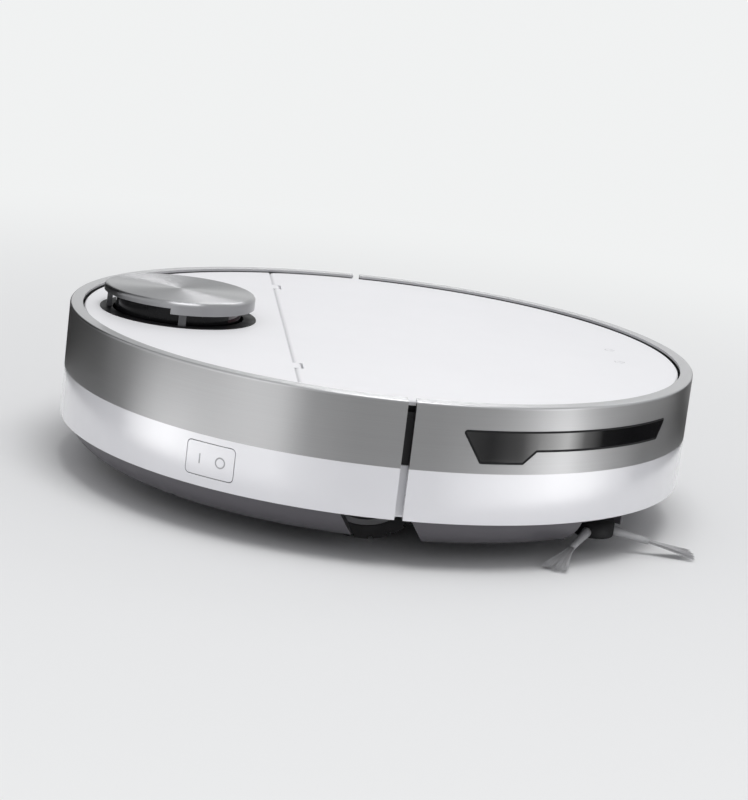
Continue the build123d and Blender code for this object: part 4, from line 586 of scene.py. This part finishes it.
# the groove round the screw in the hub's face: its depth, and its edges as shares of HUB_R
GROOVE_DEPTH = 0.6 * MM
GROOVE_IN = (0.35, 0.42)
GROOVE_OUT = (0.62, 0.68)
SHAFT_R = 3.0 * MM
ARM_TURNS = (-120, 0, 120)
ARM_REACH = 57.0 * MM
ARM_HIGH = 12.0 * MM
ARM_LOW = 2.1 * MM
STALK_START = 0.8 * HUB_R
STALK_END = 31.0 * MM
STALK_R = (3.0 * MM, 2.3 * MM, 1.9 * MM, 1.7 * MM)
STALK_SIDES = 12
ARM_BRISTLES = 90
ARM_FAN_HALF = 7.0 * MM
ARM_ROOT_HALF = 0.9 * MM
BRISTLE_ROOT = STALK_END - 3.0 * MM
BRISTLE_SHARES = (0.0, 0.35, 0.7, 1.0)  # the points of each bristle along its length
BRISTLE_R = 0.17 * MM
BRISTLE_RADII = (BRISTLE_R, BRISTLE_R, BRISTLE_R, BRISTLE_R * 0.5)
BRISTLE_SIDES = 4
BRISTLE_SPLAY = 1.3  # over 1, a fan opens late
BRISTLE_LIFT = 1.0 * MM
BRISTLE_WEAR = 2.5 * MM  # the most that a bristle is short of the longest
FAN_ROUND = 1.2 * MM  # how much shorter the fan's sides are


def brush_point(turn, along, across, lift=0.0):
    """A point on a sloping arm, by its distance from the hub's axis and to each side."""
    fall = (along - HUB_R) / (ARM_REACH - HUB_R)
    point = Vector((along, across, ARM_HIGH + (ARM_LOW - ARM_HIGH) * fall + lift))
    return Matrix.Rotation(turn, 3, "Z") @ point


def hub_profile(top):
    """The half section of the side brush's hub and of its shaft up to a height."""
    floor = HUB_LOW + GROOVE_DEPTH
    profile = [(HUB_BORE_R, HUB_LOW), (HUB_R * GROOVE_IN[0], HUB_LOW)]
    profile += [(HUB_R * GROOVE_IN[1], floor), (HUB_R * GROOVE_OUT[0], floor)]
    profile += [(HUB_R * GROOVE_OUT[1], HUB_LOW), (HUB_R - HUB_EDGE, HUB_LOW)]
    for step in range(1, HUB_EDGE_STEPS + 1):
        fall, out = circle_point(HUB_EDGE, math.pi / 2 * step / HUB_EDGE_STEPS)
        profile.append((HUB_R - HUB_EDGE + out, HUB_LOW + HUB_EDGE - fall))
    return profile + [(HUB_R, HUB_HIGH), (SHAFT_R, HUB_HIGH), (SHAFT_R, top), (HUB_BORE_R, top)]


def side_brush(materials):
    """The side brush: a rounded hub, three tapering stalks and their fans of bristles."""
    axis = JOINTS["side_brush_spin"]["pos_m"]
    centre = Vector((axis[0], axis[1], 0.0))
    hub = Shape()
    hub.spun(hub_profile(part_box("side_brush")[1].z), centre, HUB_SIDES)
    stalks = Shape()
    fans = Shape()
    steps = len(STALK_R) - 1
    for arm_turn in ARM_TURNS:
        turn = math.radians(arm_turn)
        stalk = []
        for step in range(steps + 1):
            along = STALK_START + (STALK_END - STALK_START) * step / steps
            stalk.append(centre + brush_point(turn, along, 0.0))
        stalks.tube(stalk, STALK_R, STALK_SIDES)
        for _ in range(ARM_BRISTLES):
            spread = RNG.uniform(-1.0, 1.0)
            lift = RNG.uniform(-1.0, 1.0) * BRISTLE_LIFT
            reach = ARM_REACH - RNG.uniform(0.0, BRISTLE_WEAR) - abs(spread) * FAN_ROUND
            bristle = []
            for share in BRISTLE_SHARES:
                along = BRISTLE_ROOT + (reach - BRISTLE_ROOT) * share
                opened = ARM_ROOT_HALF + (ARM_FAN_HALF - ARM_ROOT_HALF) * share ** BRISTLE_SPLAY
                raised = lift * (0.5 + 0.5 * share)
                bristle.append(centre + brush_point(turn, along, spread * opened, raised))
            fans.tube(bristle, BRISTLE_RADII, BRISTLE_SIDES)
    piece = add_piece("side_brush_hub", hub, materials["matt_black"], "side_brush")
    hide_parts("side_brush")
    add_piece("side_brush_stalks", stalks, materials["bristle_pale"], "side_brush")
    add_piece("side_brush_bristles", fans, materials["bristle"], "side_brush")


ROLLER_CORE_R = 10.0 * MM
ROLLER_TUFT_R = 19.0 * MM
ROLLER_ROWS = 6
ROLLER_TUFTS = 34
ROLLER_END_GAP = 9.0 * MM
ROW_SLANT = 14.0  # degrees that a row turns from the roller's middle to its ends
TUFT_BRISTLES = 5
TUFT_LEAN = 0.09  # the most that a bristle leans to either side, in radians
TUFT_SPREAD = 1.2 * MM
TUFT_WEAR = 1.2 * MM
TUFT_RADII = (0.22 * MM, 0.14 * MM)


def roller_bristles(materials):
    """A slanting row of bristle tufts between each two blades of the main roller."""
    axis = Vector(JOINTS["roller_spin"]["pos_m"])
    low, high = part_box("roller_housing")
    half = min(-low.y, high.y) - ROLLER_END_GAP
    tufts = Shape()
    for row in range(ROLLER_ROWS):
        for index in range(ROLLER_TUFTS):
            share = index / (ROLLER_TUFTS - 1)
            y = -half + 2 * half * share
            slant = ROW_SLANT * (abs(2 * share - 1) - 0.5)
            turn = math.radians(360 * row / ROLLER_ROWS + slant)
            for _ in range(TUFT_BRISTLES):
                lean = turn + RNG.uniform(-TUFT_LEAN, TUFT_LEAN)
                at = y + RNG.uniform(-TUFT_SPREAD, TUFT_SPREAD)
                reach = ROLLER_TUFT_R - RNG.uniform(0.0, TUFT_WEAR)
                path = []
                for radius, angle in ((ROLLER_CORE_R - MM, turn), (reach, lean)):
                    x, z = circle_point(radius, angle)
                    path.append(axis + Vector((x, at, z)))
                tufts.tube(path, TUFT_RADII, BRISTLE_SIDES)
    add_piece("roller_tufts", tufts, materials["black_plastic"], "main_roller")


SPRING_TURN = math.radians(62.0)  # from straight ahead to each bumper spring
SPRING_R = 2.5 * MM
SPRING_WIRE_R = 0.35 * MM
SPRING_COILS = 4
SPRING_STEPS = 20  # points on each coil
SPRING_SIDES = 8


def bumper_springs(materials):
    """The two coil springs behind the bumper."""
    low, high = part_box("bumper_springs")
    start = (low.x + SPRING_R * math.sin(SPRING_TURN)) / math.cos(SPRING_TURN)
    end = (high.y - SPRING_R * math.cos(SPRING_TURN)) / math.sin(SPRING_TURN)
    travel = max(JOINTS["bumper_slide"]["range_m"]) * math.cos(SPRING_TURN)
    up = Vector((0.0, 0.0, 1.0))
    middle = up * (low.z + high.z) / 2
    count = SPRING_COILS * SPRING_STEPS
    coil_length = end - start - 2 * SPRING_WIRE_R
    for name, side in (("bumper_spring_left", 1), ("bumper_spring_right", -1)):
        along = Vector((math.cos(SPRING_TURN), side * math.sin(SPRING_TURN), 0.0))
        across = along.cross(up)
        path = []
        for step in range(count + 1):
            reach = start + SPRING_WIRE_R + coil_length * step / count
            angle = 2 * math.pi * step / SPRING_STEPS
            sideways, rise = circle_point(SPRING_R - SPRING_WIRE_R, angle)
            path.append(middle + reach * along + sideways * across + rise * up)
        coil = Shape()
        coil.tube(path, [SPRING_WIRE_R] * len(path), SPRING_SIDES, along)
        piece = add_piece(name, coil, materials["spring_steel"], "chassis")
        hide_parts("bumper_springs")
        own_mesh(piece)


# width of the painted shade line round each bumper window, and the longest step between its points
GAP_SHADE_WIDTH = 1.1 * MM
GAP_SHADE_STEP = 1.5 * MM
FACE_SLACK = 0.4 * MM  # how far inside the cylinder a window's face may lie
SAME_POINT = 7  # decimals of a metre that make two corners one


def corner_key(vertex):
    """A mesh corner's place, rounded so that corners at one place are one."""
    return tuple(round(value, SAME_POINT) for value in vertex.co)


def face_outlines(node, radius):
    """The closed outlines of a node's faces on an upright cylinder, as (way round it, height)."""
    mesh = node.data
    uses = {}
    for polygon in mesh.polygons:
        corners = [mesh.vertices[index] for index in polygon.vertices]
        if all(corner.co.xy.length > radius - FACE_SLACK for corner in corners):
            keys = [corner_key(corner) for corner in corners]
            for a, b in zip(keys, keys[1:] + keys[:1]):
                edge = (min(a, b), max(a, b))
                uses[edge] = uses.get(edge, 0) + 1
    joined = {}
    for (a, b), count in uses.items():
        if count == 1 and a != b:
            joined.setdefault(a, []).append(b)
            joined.setdefault(b, []).append(a)
    outlines = []
    while joined:
        here = min(joined)
        points = []
        while here in joined:
            points.append((radius * math.atan2(here[1], here[0]), here[2]))
            ends = joined.pop(here)
            here = next((end for end in ends if end in joined), None)
        outlines.append(points)
    return outlines


def fine_points(points, step):
    """The points of a closed outline with more between them, at most a step apart."""
    result = []
    for start, end in zip(points, points[1:] + points[:1]):
        a = Vector(start)
        b = Vector(end)
        parts = max(1, math.ceil((b - a).length / step))
        result += [tuple(a.lerp(b, part / parts)) for part in range(parts)]
    return result


def window_gap_shade(materials):
    """A thin dark line painted on the band round each window of the bumper: painted shade of the gap at the
    window's edge.
    """
    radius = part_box("front_band_metal")[1].x

    def on_band(p):
        return Vector((*circle_point(radius + MARK_PROUD, p.x / radius), p.y))

    lines = []
    for points in face_outlines(frame["nodes"]["sensor_windows"], radius):
        lines.append((fine_points(points, GAP_SHADE_STEP), GAP_SHADE_WIDTH, True))
    flat_mark("window_gap_shade", lines, materials["matt_black"], "bumper", on_band)


TAB_Y = 110.0 * MM  # the hinge tabs and half their width
TAB_HALF = 7.0 * MM
SEAM_END_GAP = 1.5 * MM
SEAM_WIDTH = 0.55 * MM
SEAM_FILL = 0.45 * MM
SEAM_DEEP = 2.0 * MM
SEAM_SUNK = 0.12 * MM


def seam_strip(materials):
    """The grey strip that shows in the seam behind the lid, between and beside the hinge tabs."""
    low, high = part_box("front_lid")
    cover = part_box("rear_cover")
    edge = low.x
    half = math.sqrt(max(cover[0].x ** 2 - edge ** 2, 0.0)) - SEAM_END_GAP
    strip = Shape()
    back = edge - SEAM_WIDTH
    top = high.z - SEAM_SUNK
    inner = TAB_Y - TAB_HALF
    outer = TAB_Y + TAB_HALF
    for start, end in ((-half, -outer), (-inner, inner), (outer, half)):
        strip.block((back, start, top - SEAM_DEEP), (back + SEAM_FILL, end, top))
    ink = materials["seam_grey"]
    add_piece("seam_strip", strip, ink, "chassis", smooth=False)


# ---------------------------------------------------------------- stage


PLAIN = (0.875, 0.885, 0.885, 1.0)  # the surround as the camera and mirrors see it
WORLD_STRENGTH = 0.59
WORLD_LOW = (0.86, 0.86, 0.90, 1.0)  # the light that it gives level with the floor and below
WORLD_TOP = (1.0, 1.0, 1.0, 1.0)  # and straight from above


def seen_rays(nodes, links):
    """One for a ray from the camera, off gloss or through glass, and nought for the rest."""
    path = nodes.new("ShaderNodeLightPath")
    total = path.outputs["Is Camera Ray"]
    for kind in ("Is Glossy Ray", "Is Transmission Ray"):
        add = nodes.new("ShaderNodeMath")
        add.operation = "ADD"
        add.use_clamp = True
        links.new(total, add.inputs[0])
        links.new(path.outputs[kind], add.inputs[1])
        total = add.outputs[0]
    return total


def pale_world():
    """An even pale surround, plain where it is seen and a little brighter overhead where it lights."""
    world = bpy.data.worlds.new("world")
    bpy.context.scene.world = world
    world.use_nodes = True
    nodes = world.node_tree.nodes
    links = world.node_tree.links
    nodes.clear()
    output = nodes.new("ShaderNodeOutputWorld")
    plain = nodes.new("ShaderNodeBackground")
    plain.inputs["Color"].default_value = PLAIN
    plain.inputs["Strength"].default_value = 1.0
    studio = nodes.new("ShaderNodeBackground")
    studio.inputs["Strength"].default_value = WORLD_STRENGTH
    coords = nodes.new("ShaderNodeTexCoord")
    split = nodes.new("ShaderNodeSeparateXYZ")
    ramp = nodes.new("ShaderNodeValToRGB")
    ramp.color_ramp.elements[0].position = 0.0
    ramp.color_ramp.elements[0].color = WORLD_LOW
    ramp.color_ramp.elements[1].position = 1.0
    ramp.color_ramp.elements[1].color = WORLD_TOP
    mix = nodes.new("ShaderNodeMixShader")
    links.new(coords.outputs["Generated"], split.inputs[0])
    links.new(split.outputs["Z"], ramp.inputs["Fac"])
    links.new(ramp.outputs["Color"], studio.inputs["Color"])
    links.new(seen_rays(nodes, links), mix.inputs["Fac"])
    links.new(studio.outputs[0], mix.inputs[1])
    links.new(plain.outputs[0], mix.inputs[2])
    links.new(mix.outputs[0], output.inputs["Surface"])


FLOOR_HALF = 30.0
# the floor shows its own paint and shadows near the robot, and the plain surround past the second
# of these distances from the robot's middle
FLOOR_NEAR = 0.15
FLOOR_FAR = 1.0


def pale_floor():
    """A plain pale floor that fades into the surround away from the robot."""
    half = FLOOR_HALF
    corners = [(-half, -half, 0), (half, -half, 0), (half, half, 0), (-half, half, 0)]
    mesh = bpy.data.meshes.new("floor")
    mesh.from_pydata(corners, [], [(0, 1, 2, 3)])
    floor = bpy.data.objects.new("floor", mesh)
    bpy.context.collection.objects.link(floor)
    look = Look("floor_paint", (0.82, 0.825, 0.83), 0.75, Specular_IOR_Level=0.0)
    glow = look.node("ShaderNodeEmission", Color=PLAIN, Strength=1.0)
    coords = look.node("ShaderNodeTexCoord")
    length = look.node("ShaderNodeVectorMath", operation="LENGTH")
    look.link(coords.outputs["Object"], length.inputs[0])
    fade = look.node("ShaderNodeMapRange", interpolation_type="SMOOTHSTEP")
    fade.inputs["From Min"].default_value = FLOOR_NEAR
    fade.inputs["From Max"].default_value = FLOOR_FAR
    look.link(length.outputs["Value"], fade.inputs["Value"])
    seen = look.node("ShaderNodeMath", operation="MULTIPLY")
    look.link(fade.outputs["Result"], seen.inputs[0])
    look.link(seen_rays(look.tree.nodes, look.tree.links), seen.inputs[1])
    mix = look.node("ShaderNodeMixShader")
    look.link(seen.outputs[0], mix.inputs["Fac"])
    look.link(look.shader.outputs[0], mix.inputs[1])
    look.link(glow.outputs[0], mix.inputs[2])
    look.link(mix.outputs[0], look.output.inputs["Surface"])
    floor.data.materials.append(look.material)


CARD_R = 0.30
# the lowest cards show in the white band, the middle ones in the windows and the highest over them
CARD_EDGES = (0.001, 0.0255, 0.048, 0.10)
# brightness of the cards round the robot, by direction in degrees
LOW_TONES = (
    (-180, 0.1), (-170, 0.3), (-163, 2.4), (-156, 4.2), (-149, 4.6), (-140, 3.4), (-130, 2.6),
    (-120, 2.6), (-112, 1.2), (-100, 0.5), (-80, 0.6), (-68, 2.2), (-56, 3.4), (-47, 4.2),
    (-36, 3.6), (-26, 1.6), (-14, 0.1), (20, 0.03), (60, 0.1), (100, 0.2), (130, 0.03), (180, 0.1),
)
MIDDLE_TONES = (
    (-180, 0.22), (-168, 0.45), (-158, 0.60), (-148, 0.78), (-137, 1.16), (-128, 1.70),
    (-119, 1.64), (-112, 0.56), (-100, 0.40), (-80, 0.38), (-66, 0.16), (-58, 0.42), (-51, 1.90),
    (-44, 3.20), (-38, 0.70), (-31, 0.05), (-20, 0.02), (0, 0.02), (14, 0.02), (30, 0.26),
    (45, 0.30), (100, 0.60), (130, 0.02), (180, 0.15),
)
HIGH_TONES = (
    (-180, 0.20), (-168, 0.42), (-158, 0.60), (-148, 0.76), (-137, 1.14), (-128, 1.70),
    (-119, 1.66), (-112, 0.56), (-100, 0.44), (-80, 0.42), (-66, 0.46), (-58, 0.85), (-51, 1.25),
    (-44, 1.65), (-36, 1.05), (-29, 0.92), (-20, 0.92), (0, 0.60), (14, 0.05), (30, 0.33),
    (45, 0.36), (100, 0.60), (130, 0.02), (180, 0.15),
)
# a dark flag behind the robot, and a bright card high behind it for the fan on the turret's cap
FLAG_R = 0.32
FLAG_HEIGHTS = (0.001, 0.60)
FLAG_ARC = (134, 176)
FAN_R = 1.0
FAN_HEIGHTS = (0.74, 1.02)
FAN_ARC = (70, 91)
FAN_GLOW = 9.0
CARD_STEP = 2.5  # degrees
CARD_LEAST_STEPS = 12


def card_ring(name, radius, heights, arc, look):
    """An upright arc of card that only reflections show, as set round a product on a table."""
    sides = max(CARD_LEAST_STEPS, int((arc[1] - arc[0]) / CARD_STEP))
    ring = []
    for z in heights:
        ring += [(*point, z) for point in arc_points(radius, *arc, sides)]
    faces = []
    for step in range(sides):
        above = step + sides + 1
        faces.append((step, step + 1, above + 1, above))
    mesh = bpy.data.meshes.new(name)
    mesh.from_pydata(ring, [], faces)
    mesh.materials.append(look.material)
    card = bpy.data.objects.new(name, mesh)
    bpy.context.collection.objects.link(card)
    card.visible_camera = False
    card.visible_diffuse = False
    card.visible_shadow = False
    card.visible_transmission = False
    card.visible_volume_scatter = False


CARD_GREY = (0.5, 0.5, 0.5)
FLAG_BLACK = (0.02, 0.02, 0.02)


def card_look(name, tones):
    """Glowing card whose brightness runs through some tones round the robot."""
    look = Look(name, CARD_GREY, 1.0)
    coords = look.node("ShaderNodeTexCoord")
    split = look.node("ShaderNodeSeparateXYZ")
    look.link(coords.outputs["Object"], split.inputs[0])
    turn = look.node("ShaderNodeMath", operation="ARCTAN2")
    look.link(split.outputs["Y"], turn.inputs[0])
    look.link(split.outputs["X"], turn.inputs[1])
    share = look.node("ShaderNodeMapRange")
    share.inputs["From Min"].default_value = -math.pi
    share.inputs["From Max"].default_value = math.pi
    look.link(turn.outputs[0], share.inputs["Value"])
    peak = max(tone for degrees, tone in tones)
    ramp = look.node("ShaderNodeValToRGB")
    elements = ramp.color_ramp.elements
    for index, (degrees, tone) in enumerate(tones):
        position = (degrees + 180) / 360
        element = elements[index] if index < 2 else elements.new(position)
        element.position = position
        element.color = (tone / peak, tone / peak, tone / peak, 1.0)
    look.link(share.outputs["Result"], ramp.inputs["Fac"])
    glow = look.node("ShaderNodeEmission", Strength=peak)
    look.link(ramp.outputs["Color"], glow.inputs["Color"])
    look.link(glow.outputs[0], look.output.inputs["Surface"])
    return look


def reflector_cards():
    """Three low rings of light and dark cards, a tall dark flag and a high bright card."""
    for row, tones in enumerate((LOW_TONES, MIDDLE_TONES, HIGH_TONES)):
        look = card_look(f"card_tones_{row}", tones)
        card_ring(f"cards_{row}", CARD_R, CARD_EDGES[row:row + 2], (-180, 180), look)
    dark = Look("flag_felt", FLAG_BLACK, 1.0)
    dark.tint(dark.noise(40.0, 2.0), 0.2)
    card_ring("dark_flag", FLAG_R, FLAG_HEIGHTS, FLAG_ARC, dark)
    bright = Look("fan_glow", CARD_GREY, 1.0)
    glow = bright.node("ShaderNodeEmission", Strength=FAN_GLOW)
    bright.link(glow.outputs[0], bright.output.inputs["Surface"])
    card_ring("fan_card", FAN_R, FAN_HEIGHTS, FAN_ARC, bright)


LIGHT_AIM = Vector((0.0, 0.0, 0.05))
# direction and height in degrees, distance and size in metres, power in watts
LIGHTS = {
    "overhead": (-80, 72, 2.0, 1.2, 17.0),
    "back_box": (45, 40, 1.6, 0.6, 1.0),
}


def area_light(name, azimuth, elevation, distance, size, energy):
    """A round soft light that looks at the robot."""
    turn = math.radians(azimuth)
    rise = math.radians(elevation)
    out = Vector((math.cos(turn) * math.cos(rise), math.sin(turn) * math.cos(rise), math.sin(rise)))
    data = bpy.data.lights.new(name, "AREA")
    data.shape = "DISK"
    data.size = size
    data.energy = energy
    light = bpy.data.objects.new(name, data)
    light.location = LIGHT_AIM + distance * out
    light.rotation_euler = (-out).to_track_quat("-Z", "Y").to_euler()
    bpy.context.collection.objects.link(light)


def make_stage():
    """The surround, the floor, the cards and the lights."""
    pale_world()
    pale_floor()
    reflector_cards()
    for name, settings in LIGHTS.items():
        area_light(name, *settings)


# ---------------------------------------------------------------- the scene

make_camera()
materials = make_materials()
dress_nodes(materials)
touch_icons(materials)
rocker_marks(materials)
side_brush(materials)
roller_bristles(materials)
bumper_springs(materials)
# painted shade of the gaps round the bumper windows
window_gap_shade(materials)
seam_strip(materials)
make_stage()

scene = bpy.context.scene
scene.view_settings.view_transform = "Standard"
